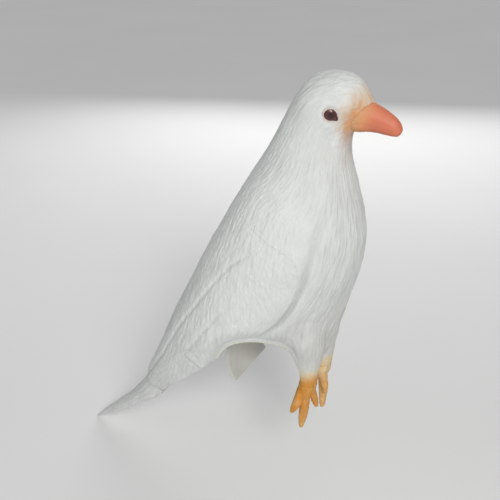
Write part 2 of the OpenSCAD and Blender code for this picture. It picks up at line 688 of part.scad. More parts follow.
module tail() color(SHELL) leaned() resize([0, 0, 0]) difference() {
  tongue_x = -55.4;
  union() {
    tail_fan();
    mid_box(tongue_x, -52.9, 8, -88, -49);
    both() box(-67.2, -53, 6, 8, -88, -71);
    both() box(tongue_x, -52.9, 7, 21, -82, -71);
  }
  for (z = tail_screw_z) rod_x(-58, -50, 0, z, 1.4, 24);
}
module tail_screws() color(STEEL) leaned()
  for (z = tail_screw_z) screw_x([head_x, 0, z], 1.1, 10.2, 2.4, 1.6);

// ---- Beak, eyes and feet ----
module beak() color(CORAL) difference() {
  beak_solid(0);
  translate([39, 0, 166.3]) rotate([0, 90, 0]) cylinder(r1 = 6.5, r2 = 4, h = 12, $fn = 32);
}
module eye(side) color([0.22, 0.08, 0.06]) leaned() on_side(side)
  translate([eye_x, 0, eye_z]) intersection() {
    translate([0, 13.2, 0]) rotate([-90, 0, 0]) cylinder(r = eye_d / 2, h = 8, $fn = 48);
    translate([0, 13.0, 0]) sphere(r = 5.9, $fn = 48);
  }
module eye_right() eye(-1);
module eye_left() eye(1);

// Ankle, as ellipse_stack rows
ANKLE = [[-9.1, 28, 12.9, 5.3, 7.6], [-11.6, 27.6, 13, 5.1, 7.4], [-14.6, 27, 13.6, 4.7, 7],
  [-17.2, 26.6, 14, 4, 6.2]];
module toe_part(from, to, r_from, r_to) {
  hull() {
    translate(from) sphere(r = r_from, $fn = 22);
    translate(to) sphere(r = r_to, $fn = 22);
  }
}
// The middle toe ends at middle_tip; each toe is root, knuckle, tip
module foot(side, middle_tip) color(ORANGE) on_side(side) resize([0, 0, 0]) union() {
  toes = [[[25.7, 17.6, -14.5], [23.7, 21.2, -22.3], [21, 23.5, -27.8]],
    [[26.7, 14.6, -15.5], (middle_tip + [28.2, 15.4, -15.1]) / 2, middle_tip],
    [[28, 10.6, -14.4], [30.5, 9.4, -23], [32.2, 8.5, -29.4]]];
  ellipse_stack(ANKLE, 32);
  peg([28.05, 13, -10], [29.57, 12.41, 3.6], 2);
  for (toe = toes) {
    toe_part(toe[0], toe[1], 3.5, 2.8);
    toe_part(toe[1], toe[2], 2.8, 1.7);
  }
}
module foot_right() foot(-1, [25, 16.9, -41.8]);
module foot_left() foot(1, [28, 15, -45.2]);

body_shell();
wing_right();
wing_left();
wing_sleeve_right();
wing_sleeve_left();
wing_shaft_right();
wing_shaft_left();
wing_bushes();
sector_right();
sector_left();
link_gear_right();
link_gear_left();
reduction_gear();
gear_axles();
motor_rotor();
motor_can();
motor_endcap();
motor_strap();
gearbox_base();
gearbox_cover();
gearbox_screws();
drive_screws();
chassis();
chassis_screws();
saddle_clip();
clip_screws();
clip_pads();
battery_box();
battery_screw();
battery_cells();
battery_springs();
battery_contacts();
battery_door();
switch_housing();
switch_knob();
control_board();
board_spacers();
board_screws();
board_chip();
board_capacitor();
board_terminal();
motor_leads();
battery_leads();
tail();
tail_screws();
beak();
eye_right();
eye_left();
foot_right();
foot_left();
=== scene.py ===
# A white moulded bird with wings hinged at the back, a tail of long feathers, a beak, eyes and
# feet. A round saddle opening crosses it at the origin, along y.
# World frame: +X is towards the beak, +Y the bird's left, +Z up. The body frame is the world
# frame turned about y, so that the body's axis leans forward. Shapes are built in millimetres
# and become metres when each piece is finished.
import functools
import math

import bpy
import numpy as np
from mathutils import Matrix, Vector


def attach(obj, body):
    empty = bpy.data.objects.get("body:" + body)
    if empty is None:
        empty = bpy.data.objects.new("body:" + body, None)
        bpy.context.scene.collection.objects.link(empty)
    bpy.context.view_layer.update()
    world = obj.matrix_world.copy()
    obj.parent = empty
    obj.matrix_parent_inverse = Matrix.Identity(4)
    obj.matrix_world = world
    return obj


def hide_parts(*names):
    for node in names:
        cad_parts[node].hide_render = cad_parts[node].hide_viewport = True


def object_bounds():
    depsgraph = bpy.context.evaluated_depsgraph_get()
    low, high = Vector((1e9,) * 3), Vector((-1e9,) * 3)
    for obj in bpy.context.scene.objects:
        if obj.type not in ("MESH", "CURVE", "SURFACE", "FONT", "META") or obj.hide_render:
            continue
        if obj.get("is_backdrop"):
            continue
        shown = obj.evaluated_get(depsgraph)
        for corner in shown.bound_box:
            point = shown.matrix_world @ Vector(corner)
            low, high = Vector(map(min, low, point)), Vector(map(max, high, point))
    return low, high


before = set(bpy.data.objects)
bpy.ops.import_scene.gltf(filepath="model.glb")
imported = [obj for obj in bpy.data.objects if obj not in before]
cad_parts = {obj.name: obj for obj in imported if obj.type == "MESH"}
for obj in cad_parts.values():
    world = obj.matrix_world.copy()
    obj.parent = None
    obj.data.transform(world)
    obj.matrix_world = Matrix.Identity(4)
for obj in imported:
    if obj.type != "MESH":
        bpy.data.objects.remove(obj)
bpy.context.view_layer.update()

COLLECTION = bpy.context.scene.collection
SIDES = ((-1, "right"), (1, "left"))      # sign of y, word used in names

# ---------------------------------------------------------------- dimensions (mm)
LEAN = math.radians(27.5)
COS_LEAN, SIN_LEAN = math.cos(LEAN), math.sin(LEAN)

# Body sections: height z, back x, front x, half width, place of the widest point as a fraction
# from back to front, roundness exponent of the back, of the front. Body frame.
BODY = np.array([
    [-76, -71, -44, 22, .42, 2.2, 2.0], [-60, -71.5, -22, 30, .42, 2.2, 2.0],
    [-35, -72.5, 10, 39.5, .42, 2.2, 2.0], [-10, -74, 24, 45, .42, 2.2, 1.6],
    [15, -74, 28, 48, .40, 2.2, 1.5], [40, -74, 25, 48, .40, 2.2, 1.6],
    [65, -73.5, 19.5, 47, .43, 2.2, 1.8], [90, -72.7, 13.5, 43, .46, 2.2, 2.0],
    [110, -71.5, 4, 36, .48, 2.2, 2.0], [128, -71, -11.5, 28, .48, 2.1, 2.0],
    [142, -71.1, -24, 22.5, .48, 2.1, 2.0], [153, -71.2, -31, 20.5, .48, 2.1, 2.0],
    [164, -70.3, -34, 20, .48, 2.1, 2.1], [173, -68.1, -33.3, 17.8, .48, 2.1, 2.1],
    [178, -64.6, -33.8, 14.8, .48, 2.0, 2.0], [182, -59.3, -37.5, 10.5, .48, 2.0, 2.0],
    [185.2, -53.5, -43.5, 4.5, .48, 2.0, 2.0]], float)
TOP = BODY[-1, 0]
HEAD_BASE = 150          # above this an inset form also gets lower

# Lines on the skin seen from the side: z, x. Body frame.
# front edge of the folded wing
GROOVE = np.array([
    [10, -20], [18, -16.5], [26.8, -11.8], [34.3, -8.6], [45.6, -5.4], [58, -4.3],
    [70.8, -5.2], [85, -8], [98.5, -12], [111, -16.6], [118, -21], [126, -27]], float)
# edges of the long flight feathers: line, step height, heights over which the step fades out
FEATHER_EDGES = (
    (np.array([[-70, -67.5], [-60, -65.5], [-41.5, -62.7], [-22.8, -61], [-4.4, -59.3],
               [17.8, -55.8], [39.1, -52.4], [64.5, -46.5], [84, -37], [96, -30]], float),
     0.72, 60, 90),
    (np.array([[-14, -46.5], [-8.8, -44.8], [.8, -43], [17.1, -40.6], [38.3, -36.5],
               [55, -31]], float), 0.62, 30, 52),
    (np.array([[-4, -37], [8, -33.5], [24, -29.5], [44, -24], [60, -19]], float), 0.20, 30, 56))

# Leg forms: height z, centre x, centre y, half depth, half width. World frame, left side.
LEG = np.array([
    [-11, 27.2, 13.7, 5.5, 7.9], [-9.4, 27.5, 13.7, 5.6, 8.0], [-2, 28.2, 14.1, 5.8, 8.8],
    [4, 28.6, 13.9, 6.3, 9.6], [10.8, 29.1, 13.6, 7.1, 10.3], [16, 28.9, 14.2, 8.1, 11.9],
    [22, 28.6, 14.8, 8.6, 12.6], [28, 28.7, 15.4, 8.6, 13.0], [34, 28.4, 16.0, 7.9, 12.2],
    [40, 27.5, 16.5, 7.0, 12.0]], float)
FLARE = np.array([
    [-9, 27.4, 13.7, 5.2, 7.2], [-3, 26.6, 14.0, 5.9, 7.3], [1.4, 25.2, 14.2, 6.6, 7.8],
    [5.4, 23.6, 14.5, 7.4, 9.5], [9.7, 21.5, 15, 9.6, 11.0], [13.2, 19, 15, 11.2, 12.4],
    [18, 17, 15.3, 12.0, 12.6], [24, 15, 15.2, 12.0, 12.3], [30, 14, 15.0, 9.0, 11.0]], float)
THIGH = np.array([
    [-2, 27, 14.0, 6.2, 8.2], [3, 26, 14.3, 7.4, 9.4], [8, 25, 14.6, 8.8, 11.0],
    [13, 24, 15, 10.0, 12.6], [18, 23.5, 15.5, 11.0, 13.8], [24, 23, 15.5, 11.5, 14.5],
    [30, 22, 15.0, 11.0, 14.0], [38, 20, 15.0, 10.0, 12.5]], float)
FOOT_TOP = np.array([
    [-20.5, 26.6, 14.2, 3.0, 4.6], [-17.6, 27.0, 14, 4.9, 7.4], [-14.6, 27.5, 13.6, 5.5, 8.2],
    [-11.6, 27.8, 13, 5.7, 8.3], [-9.12, 28, 12.9, 5.55, 8.0]], float)

# Wing panel outline: x, z in the body frame. Corners listed as sharp aren't rounded.
WING_OUTLINE = [
    [-95, 90], [-24, 90], [-16, 88], [-11, 82], [-7, 72], [-5, 58], [-5.5, 45], [-8.5, 34.5],
    [-11.5, 29], [-16, 26], [-21, 22], [-25.5, 15.5], [-28.5, 7], [-34, 0], [-41, -6.5],
    [-47, -13], [-53, -26], [-58, -42], [-63, -58], [-66, -67.2], [-95, -67.2]]
WING_SHARP = (0, 1, 19, 20)
SEAM = 0.02              # the wing panel is smaller than its recess by this
FAR = 100                # beyond the skin, sideways

# Wing hinges: upright in the body frame
HINGE_X, HINGE_Y, HINGE_R = -65.8, 11.0, 7.3
CHANNEL_R = HINGE_R + 0.6 + 1.8           # with a clearance and a wall round the hinge

# How far inside the outer form each inner form lies
CAVITY_INSET = 2.4
WING_INSET = 2.8
RECESS_INSET, WALL_INSET = 3.8, 5.6       # floor and back of the wing recess walls
RIB_INSET = 0.5

# Outline cut away under the body: x, z in the body frame
UNDERCUT = [[0, 0], [-24.6, 2.1], [-28.8, -7.8], [-33.1, -20.3], [-40, -38.2], [-46.6, -56.3],
            [-49.7, -69.5], [-51, -80], [-100, -80], [-100, -120], [40, -120], [40, 0]]
CROTCH, ARCH_R = 11.0, 2.4                # top of the slit between the legs, its radius

# Tail: distance below z = 0, x of its ridge, x of its edges, half width. Body frame.
TAIL = np.array([
    [70.5, -69.9, -50.2, 25.2], [78, -70.0, -52.8, 23.4], [86.7, -70.5, -56, 21.6],
    [98, -72.6, -62, 18], [112.7, -76.2, -68, 14.2], [132, -83, -77.8, 9],
    [146, -88.4, -85.4, 4.8], [155.4, -91.2, -90.2, 1.5]], float)

# Beak: x, top z, bottom z, half width. World frame.
BEAK = np.array([
    [40.5, 174.8, 154.9, 9.1], [44, 175.2, 155.0, 9.3], [48.3, 174.9, 155.3, 8.9],
    [54.6, 173.3, 155.9, 7.8], [59.7, 171.1, 155.9, 6.8], [64.3, 168.7, 155.2, 5.8],
    [68.2, 166.3, 154.6, 5.0], [70.6, 164.1, 154.8, 4.3], [72.2, 161.9, 155.9, 3.2],
    [73.1, 160.0, 157.4, 1.5]], float)

EYE = np.array([-44.5, 17.9, 165.7])      # left eye, body frame


# ---------------------------------------------------------------- frames and interpolation
def to_world(p):
    """Body frame to world frame."""
    p = np.asarray(p, float)
    x, y, z = p[..., 0], p[..., 1], p[..., 2]
    return np.stack([x * COS_LEAN + z * SIN_LEAN, y, -x * SIN_LEAN + z * COS_LEAN], -1)


def to_body(p):
    """World frame to body frame."""
    x, y, z = p[..., 0], p[..., 1], p[..., 2]
    return np.stack([x * COS_LEAN - z * SIN_LEAN, y, x * SIN_LEAN + z * COS_LEAN], -1)


def along(table, at):
    """The columns of a station table, smoothly interpolated at values of its first column."""
    at = np.asarray(at, float)
    knots = table[:, 0]
    gap = np.diff(knots)
    k = np.clip(np.searchsorted(knots, at, side='right') - 1, 0, len(gap) - 1)
    t = np.clip((at - knots[k]) / gap[k], 0, 1)
    columns = []
    for values in table.T[1:]:
        rise = np.diff(values) / gap
        slope = np.empty(len(knots))
        slope[0] = rise[0]
        slope[-1] = rise[-1]
        slope[1:-1] = (rise[:-1] * gap[1:] + rise[1:] * gap[:-1]) / (gap[:-1] + gap[1:])
        columns.append((2 * t**3 - 3 * t**2 + 1) * values[k]
                       + (t**3 - 2 * t**2 + t) * gap[k] * slope[k]
                       + (-2 * t**3 + 3 * t**2) * values[k + 1]
                       + (t**3 - t**2) * gap[k] * slope[k + 1])
    return columns


def ease(x, start, end):
    """0 before start, 1 after end, smooth between."""
    t = np.clip((x - start) / (end - start), 0, 1)
    return t * t * (3 - 2 * t)


def fall(x, start, end):
    """1 before start, 0 after end, smooth between."""
    return 1 - ease(x, start, end)


def bell(x, width):
    return np.exp(-(x / width)**2)


def circle(count):
    return np.linspace(0, 2 * math.pi, count, endpoint=False)


def distance(p, centre, scale=(1, 1, 1)):
    """Distance to a centre, with each axis scaled."""
    return np.sqrt((((p - np.array(centre)) * np.array(scale))**2).sum(-1))


# ---------------------------------------------------------------- noise
def cell_value(ix, iy, iz, seed):
    """A fixed value from -1 to 1 for each whole-number cell."""
    n = ((ix.astype(np.int64) * 73856093) ^ (iy.astype(np.int64) * 19349663)
         ^ (iz.astype(np.int64) * 83492791) ^ (seed * 2654435761))
    n = (n ^ (n >> 13)) * 1274126177 & 0x7fffffff
    n = (n ^ (n >> 16)) * 668265263 & 0x7fffffff
    return (n & 0xffff) / 32767.5 - 1.0


def noise(u, v, w, seed):
    """Smooth noise from -1 to 1 over unit cells."""
    u, v, w = np.broadcast_arrays(np.asarray(u, float), v, w)
    cells = [np.floor(c) for c in (u, v, w)]
    weights = []
    for value, cell in zip((u, v, w), cells):
        f = value - cell
        weights.append(f * f * f * (f * (f * 6 - 15) + 10))
    total = 0
    for corner in np.ndindex(2, 2, 2):
        share = cell_value(*[cell + c for cell, c in zip(cells, corner)], seed)
        for weight, c in zip(weights, corner):
            share = share * (weight if c else 1 - weight)
        total = total + share
    return total


def layers(u, v, w, *rows):
    """Sum of noise layers. Each row: amplitude, cell size along u, along v, along w, seed."""
    return sum(amount * noise(u / a, v / b, w / c, seed) for amount, a, b, c, seed in rows)


# ---------------------------------------------------------------- body form
def section(z, inset=0.0):
    """The columns of BODY at height z, drawn in by an inset."""
    back, front, half, *shape = along(BODY, z)
    back = back + inset
    return back, np.maximum(front - inset, back + 0.4), np.maximum(half - inset, 0.2), *shape


def form_point(z, angle, inset=0.0):
    """Point of the body form at a height and an angle round it, 0 in front. Body frame."""
    back, front, half, widest, back_power, front_power = section(z, inset)
    centre = back + (front - back) * widest
    c, s = np.cos(angle), np.sin(angle)
    power = 2 / np.where(c > 0, front_power, back_power)
    x = centre + np.where(c > 0, front - centre, centre - back) * np.sign(c) * np.abs(c)**power
    y = half * np.sign(s) * np.abs(s)**power
    head = TOP - HEAD_BASE
    height = np.where(z < HEAD_BASE, z, HEAD_BASE + (z - HEAD_BASE) * (head - inset) / head)
    return np.stack([x, y, height + 0 * x], -1)


# ---------------------------------------------------------------- mesh helpers
def mesh_object(V, F):
    me = bpy.data.meshes.new("part")
    me.from_pydata(np.asarray(V, float).tolist(), [], [list(map(int, f)) for f in F])
    me.validate()
    me.update()
    o = bpy.data.objects.new("part", me)
    COLLECTION.objects.link(o)
    return o


def vertex_data(o, field="co"):
    a = np.empty(len(o.data.vertices) * 3)
    o.data.vertices.foreach_get(field, a)
    return a.reshape(-1, 3)


def move_vertices(o, points):
    o.data.vertices.foreach_set("co", points.ravel())
    o.data.update()


def solid(V, F):
    """A closed mesh whose faces point outwards."""
    o = mesh_object(V, F)
    v = vertex_data(o)
    o.data.calc_loop_triangles()
    t = np.empty(len(o.data.loop_triangles) * 3, np.int64)
    o.data.loop_triangles.foreach_get("vertices", t)
    a, b, c = v[t.reshape(-1, 3)].transpose(1, 0, 2)
    if np.einsum('ij,ij->i', a, np.cross(b, c)).sum() < 0:
        o.data.flip_normals()
    return o


def ring_mesh(rings, ends="capped"):
    """Tube through rings[ring, point, xyz], its ends capped, open, or joined to each other."""
    rings = np.asarray(rings)
    count, n = rings.shape[:2]
    V = rings.reshape(-1, 3)
    i = np.arange(count if ends == "joined" else count - 1)[:, None]
    j = np.arange(n)[None, :]
    here, there, after = i * n, (i + 1) % count * n, (j + 1) % n
    F = np.stack([here + j, here + after, there + after, there + j], -1).reshape(-1, 4).tolist()
    if ends == "capped":
        V = np.vstack([V, rings[0].mean(0), rings[-1].mean(0)])
        first, last, row = count * n, count * n + 1, (count - 1) * n
        F += [[first, (q + 1) % n, q] for q in range(n)]
        F += [[last, row + q, row + (q + 1) % n] for q in range(n)]
    return V, F


def ring_solid(rings):
    return solid(*ring_mesh(rings))


def drop(o):
    me = o.data
    bpy.data.objects.remove(o)
    bpy.data.meshes.remove(me)


def duplicate(o):
    c = bpy.data.objects.new("part", o.data.copy())
    COLLECTION.objects.link(c)
    return c


def apply_modifiers(o):
    graph = bpy.context.evaluated_depsgraph_get()
    me = bpy.data.meshes.new_from_object(o.evaluated_get(graph))
    o.modifiers.clear()
    old = o.data
    o.data = me
    bpy.data.meshes.remove(old)
    return o


def combine(target, tool, operation, keep_tool=False):
    m = target.modifiers.new("b", 'BOOLEAN')
    m.operation = operation
    m.object = tool
    m.solver = 'MANIFOLD'
    apply_modifiers(target)
    if not keep_tool:
        drop(tool)
    return target


def unite(target, tool):
    return combine(target, tool, 'UNION')


def intersect(target, tool):
    return combine(target, tool, 'INTERSECT')


def subtract(target, tool, keep_tool=False):
    return combine(target, tool, 'DIFFERENCE', keep_tool)


def join(objects):
    """One mesh of several, without merging them."""
    V, F, offset = [], [], 0
    for o in objects:
        v = vertex_data(o)
        V.append(v)
        F += [[i + offset for i in p.vertices] for p in o.data.polygons]
        offset += len(v)
        drop(o)
    return mesh_object(np.vstack(V), F)


def remesh(o, voxel):
    m = o.modifiers.new("r", 'REMESH')
    m.mode = 'VOXEL'
    m.voxel_size = voxel
    m.use_smooth_shade = True
    apply_modifiers(o)


def smooth(o, passes, mask=1.0):
    """Moves vertices halfway to the mean of their neighbours, scaled by a mask."""
    v = vertex_data(o)
    n = len(v)
    e = np.empty(len(o.data.edges) * 2, np.int64)
    o.data.edges.foreach_get("vertices", e)
    a, b = e.reshape(-1, 2).T
    degree = np.maximum(np.bincount(e, minlength=n)[:, None].astype(float), 1)
    strength = 0.5 * np.broadcast_to(mask, n)[:, None]
    for _ in range(passes):
        total = np.stack([np.bincount(a, v[b, c], n) + np.bincount(b, v[a, c], n)
                          for c in range(3)], -1)
        v = v + (total / degree - v) * strength
    move_vertices(o, v)


# ---------------------------------------------------------------- solids
def body_form(inset, rings=90, sides=96):
    """The plain body, closed, drawn in by an inset."""
    crown = 173 + (TOP - 173) * np.sin(np.linspace(0, 1, 16) * math.pi / 2)
    z = np.concatenate([np.linspace(BODY[0, 0], 172, rings), crown])
    return ring_solid(to_world(form_point(z[:, None], circle(sides)[None, :], inset)))


def cylinder(axis, centre, radius, start, end, sides=96):
    """Cylinder along a body axis; centre is given on the two other axes, in order."""
    t = circle(sides)
    a, b = centre[0] + radius * np.cos(t), centre[1] + radius * np.sin(t)
    place = "xyz".index(axis)
    rings = []
    for height in (start, end):
        coordinates = [a, b]
        coordinates.insert(place, height + 0 * t)
        rings.append(np.stack(coordinates, -1))
    return ring_solid(to_world(np.array(rings)))


def box(low, high, in_body=True):
    """Box between two corners, in the body frame or else the world frame."""
    V = np.array([[x, y, z] for x in (low[0], high[0]) for y in (low[1], high[1])
                  for z in (low[2], high[2])], float)
    F = [[0, 1, 3, 2], [4, 6, 7, 5], [0, 4, 5, 1], [2, 3, 7, 6], [0, 2, 6, 4], [1, 5, 7, 3]]
    return solid(to_world(V) if in_body else V, F)


def prism(outline, y_low, y_high):
    """Side outline (x, z in the body frame) swept across y."""
    n = len(outline)
    V = [[x, y, z] for y in (y_low, y_high) for x, z in outline]
    F = [list(range(n))[::-1], list(range(n, 2 * n))]
    F += [[i, (i + 1) % n, n + (i + 1) % n, n + i] for i in range(n)]
    return solid(to_world(V), F)


def span(side, near, far=FAR):
    """Range of y from near to far out on one side, lowest first."""
    return sorted((side * near, side * far))


def slices(table, side, step=0.8):
    """Upright loft of ellipses through a leg table."""
    count = int((table[-1, 0] - table[0, 0]) / step)
    z = np.linspace(table[0, 0], table[-1, 0], count)[:, None]
    x, y, depth, half = along(table, z)
    t = circle(64)[None]
    rings = np.stack([x + depth * np.cos(t), side * (y + half * np.sin(t)), z + 0 * t], -1)
    return ring_solid(rings)


def tube(points, radii, side, squash=1.0):
    """Tube with rounded ends through world points given for the left side."""
    points = np.asarray(points, float) * (1, side, 1)
    steps = np.linalg.norm(np.diff(points, axis=0), axis=1)
    length = np.r_[0, np.cumsum(steps)]
    *centre, r = along(np.column_stack([length, points, radii]),
                       np.linspace(0, length[-1], int(length[-1] / 0.6)))
    C = np.stack(centre, -1)
    T = np.gradient(C, axis=0)
    T /= np.linalg.norm(T, axis=1)[:, None]
    # rounded ends
    count = 7
    a = np.linspace(0.12, 1, count) * math.pi / 2
    C = np.vstack([C[0] - T[0] * r[0] * np.cos(a)[:, None], C,
                   C[-1] + T[-1] * r[-1] * np.cos(a[::-1])[:, None]])
    r = np.r_[r[0] * np.sin(a), r, r[-1] * np.sin(a[::-1])]
    T = np.vstack([np.repeat(T[:1], count, 0), T, np.repeat(T[-1:], count, 0)])
    X = np.cross(np.broadcast_to([0, 1.0, 0.05], T.shape), T)
    X /= np.linalg.norm(X, axis=1)[:, None]
    Y = np.cross(T, X)
    t = circle(32)[None, :, None]
    return ring_solid(C[:, None] + r[:, None, None] * (
        np.cos(t) * X[:, None] * squash + np.sin(t) * Y[:, None]))


def round_outline(outline, step, sharp):
    """Rounds an outline's corners with a Catmull-Rom pass, except the sharp ones."""
    p = np.asarray(outline, float)
    n = len(p)
    out = []
    for i in range(n):
        a, b, c, d = p[i - 1], p[i], p[(i + 1) % n], p[(i + 2) % n]
        starts, ends = i in sharp, i + 1 in sharp
        if starts:
            a = b
        if ends:
            d = c
        count = 1 if starts and ends else max(1, int(np.linalg.norm(c - b) / step))
        for k in range(count):
            t = k / count
            out.append(0.5 * ((2 * b) + (c - a) * t + (2 * a - 5 * b + 4 * c - d) * t * t
                              + (3 * b - a - 3 * c + d) * t**3))
    return np.array(out)


def offset_outline(outline, offset):
    """Outline run anticlockwise and moved outwards."""
    p = outline
    if np.sum(p[:, 0] * np.roll(p[:, 1], -1) - np.roll(p[:, 0], -1) * p[:, 1]) < 0:
        p = p[::-1]
    edge = np.roll(p, -1, 0) - p
    edge /= np.linalg.norm(edge, axis=1)[:, None]
    normal = np.stack([edge[:, 1], -edge[:, 0]], -1)
    out = []
    for i in range(len(p)):
        a, b = normal[i - 1], normal[i]
        out.append(p[i] + (a + b) / max(0.35, 1 + a @ b) * offset)
    return np.array(out)


WING_CURVE = round_outline(WING_OUTLINE, 2.0, WING_SHARP)


# ---------------------------------------------------------------- feather relief
def saddle_radius(x, z):
    """Radius of the saddle opening in the direction of a world point."""
    a = np.degrees(np.arctan2(x, z))
    return 24.6 + 2.5 * ease(a, -80, -22) * fall(a, 35, 72)


def saddle_distance(world):
    x, _, z = world.T
    return np.hypot(x, z) - saddle_radius(x, z)


def groove_distance(p):
    """How far a body point lies in front of the folded wing's edge."""
    return p[:, 0] - along(GROOVE, p[:, 2])[0]


def beak_root_distance(world, half_width, centre_z, half_height, size):
    """Distance outside an ellipse round the root of the beak, seen from the front."""
    q = np.sqrt((world[:, 1] / half_width)**2 + ((world[:, 2] - centre_z) / half_height)**2)
    return np.clip((q - 1) * size, 0, 40)


def combing(p):
    """How the pile lies at points in the body frame.

    Body coordinates (across, along, sideways) and head coordinates (out from the throat, round
    it, sideways) in mm, share of the head, angle round the body and the world points.
    """
    x, y, z = p.T
    back, front = section(np.minimum(z, 170))[:2]
    centre = back + (front - back) * (0.35 + 0.15 * ease(z, 100, 150))
    angle = np.abs(np.arctan2(y, x - centre))
    wing = ease(-groove_distance(p), -1, 10) * fall(z, 96, 124)
    across = angle * 42 - 0.26 * wing * (z - 84)
    # the breast lines sweep back below the wing
    across = across + ease(-z, -60, 25) * (1 - wing) * 0.18 * (60 - z)
    side = 7 * np.tanh(y / 8)             # tells left from right, without a jump between
    across = across + layers(across, z, side, (1.5, 13, 24, 4, 3), (0.7, 5, 15, 4, 4))
    body_comb = np.stack([across, z, side], -1)
    world = to_world(p)
    throat_x, throat_z = world[:, 0] - 50, world[:, 2] - 148
    out = np.hypot(throat_x, throat_z)
    out = out + layers(throat_x, throat_z, world[:, 1], (0.8, 6, 6, 6, 5))
    head_comb = np.stack([out, np.arctan2(throat_z, throat_x) * 26, world[:, 1]], -1)
    return body_comb, head_comb, ease(z, 138, 160), angle, world


def curls(u, v, side, cell, wave, seed):
    """Small concentric curls scattered over a grid of cells."""
    cell_u, cell_v = np.floor(u / cell), np.floor(v / cell)
    nearest = np.full(u.shape, 1e9)
    amount = np.zeros_like(u)
    sign = np.sign(side)
    for i in (-1, 0, 1):
        for j in (-1, 0, 1):
            a, b = cell_u + i, cell_v + j
            centre_u = (a + 0.5 + 0.42 * cell_value(a, b, sign, seed)) * cell
            centre_v = (b + 0.5 + 0.42 * cell_value(a, b, sign, seed + 1)) * cell
            stretch = 1 + 0.3 * cell_value(a, b, sign, seed + 2)
            q = np.hypot((u - centre_u) * stretch, v - centre_v)
            closer = q < nearest
            nearest = np.where(closer, q, nearest)
            amount = np.where(closer, 0.6 + 0.4 * cell_value(a, b, sign, seed + 3), amount)
    return (amount * np.cos(nearest * 2 * math.pi / wave)
            * fall(nearest, 0.35 * cell, 0.72 * cell))


def pile_relief(p, groove, body_comb, head_comb, head, angle):
    """Combed lines, rough pile, curls, folds and dents."""
    z = p[:, 2]
    lie = u, v, side = body_comb.T
    body = 1 - head
    breast = ease(groove, -2, 4)
    back = ease(angle, 2.0, 2.7)
    # combed lines
    h = layers(*lie, (0.25, 1.10, 8, 1, 11), (0.17, 0.85, 5, 1, 12), (0.09, 2.2, 14, 1, 13))
    h = h * (0.62 + 0.55 * breast - 0.32 * back) * body
    # rough short pile over the wing, shoulder and back
    h += (1 - breast) * body * (1 - 0.5 * back) * layers(
        *lie, (0.17, 0.95, 2.3, 1, 14), (0.06, 2.6, 3.4, 1, 15))
    h += back * body * layers(*lie, (0.06, 1.5, 1.9, 1, 16))
    # head: fine short pile swept back round the head
    h += head * layers(*head_comb.T, (0.24, 0.95, 5.5, 1.6, 21), (0.11, 1.7, 9.0, 2.6, 22),
                       (0.05, 0.9, 1.2, 1.0, 23))
    # shoulder: small curls
    shoulder = fall(groove, -3, 3) * ease(z, 40, 68) * fall(z, 112, 134) * (1 - 0.5 * back)
    h += shoulder * (0.13 * curls(u, v, side, cell=5.4, wave=2.5, seed=31)
                     + layers(*lie, (0.08, 1.3, 1.7, 1, 34)))
    # long soft folds over the lower flank and shallow dents all over
    h += body * layers(*lie, (0.12, 6.0, 34, 1, 41)) * ease(-z, -110, -30)
    return h + layers(*p.T, (0.20, 8, 8, 9, 42))


def wing_relief(p, groove, side):
    """Edges of the folded wing and its feathers."""
    x, _, z = p.T
    # raised edge with a soft hollow in front of it, sharpest low down
    low = fall(z, 52, 92)
    edge = 1.05 * ease(-groove, -0.8, 7.0) * (1 - 0.75 * ease(-groove, 8, 46))
    hollow = (0.42 + 0.95 * low) * bell(groove - 0.5, 1.4 + 1.2 * (1 - low))
    h = ease(z, 23, 42) * fall(z, 100, 122) * (edge - hollow + 0.40 * bell(groove - 4.6, 2.6))
    # long flight feathers: stepped edges
    wander = layers(z, side, 0, (0.5, 9, 1, 1, 44))
    for line, height, fade_start, fade_end in FEATHER_EDGES:
        e = x - along(line, z)[0] + wander
        mask = fall(z, fade_start, fade_end) * ease(z, line[0, 0] - 6, line[0, 0] + 4)
        h += mask * height * (0.8 * ease(-e, -0.4, 1.2) * fall(-e, 1.5, 8.0)
                              - 0.8 * bell(e - 0.7, 1.0))
    # lower edge of the covert patch
    e = z - (-15.5 + 0.10 * (x + 38)) + layers(x, side, 0, (0.4, 7, 1, 1, 45))
    h += ease(-x, 24, 30) * fall(-x, 44, 47) * (
        0.30 * ease(e, -0.5, 1.2) * fall(e, 1.5, 7) - 0.35 * bell(e + 0.4, 0.9))
    return h


def leg_and_saddle_relief(h, world):
    x, y, z = world.T
    leg = fall(z, 2, 22) * ease(x, 12, 22)
    # legs: combed straight down
    h = h * (1 - 0.6 * leg) + leg * (
        layers(y + 0.4 * x, z, np.sign(y), (0.16, 0.95, 8, 1, 51))
        + layers(y, z, x, (0.10, 2.0, 14, 3, 52)))
    # raised lip along the saddle edge
    r = saddle_distance(world)
    h = h * (1 - 0.8 * fall(r, 1.0, 3.0)) + 0.35 * fall(r, 1.3, 2.0) * (1 - leg)
    h -= 0.20 * bell(r - 2.6, 0.7) * (1 - leg)
    return h - 1.1 * fall(r, 0.0, 12.0) * (1 - leg)


def face_relief(h, p, world):
    # brow and the seat of each eye
    for side, _ in SIDES:
        r = distance(p, EYE * (1, side, 1))
        h = h * (1 - 0.8 * bell(r, 6.0))
        h += -0.50 * bell(r, 4.2) + 0.28 * bell(r - 6.2, 1.8)
    # face rising softly onto the root of the beak, fuller forehead, throat crease
    outside = beak_root_distance(world, half_width=9.2, centre_z=165.1, half_height=10.1, size=9.6)
    h += ease(world[:, 0], 26, 34) * 0.4 * bell(outside - 4, 4.0)
    h += 1.9 * bell(distance(world, (44.0, 0, 178.5), (1, 0.6, 1)), 6.5)
    return h - 0.6 * bell(distance(world, (45.0, 0, 152.5), (1, 0.7, 1)), 4.5)


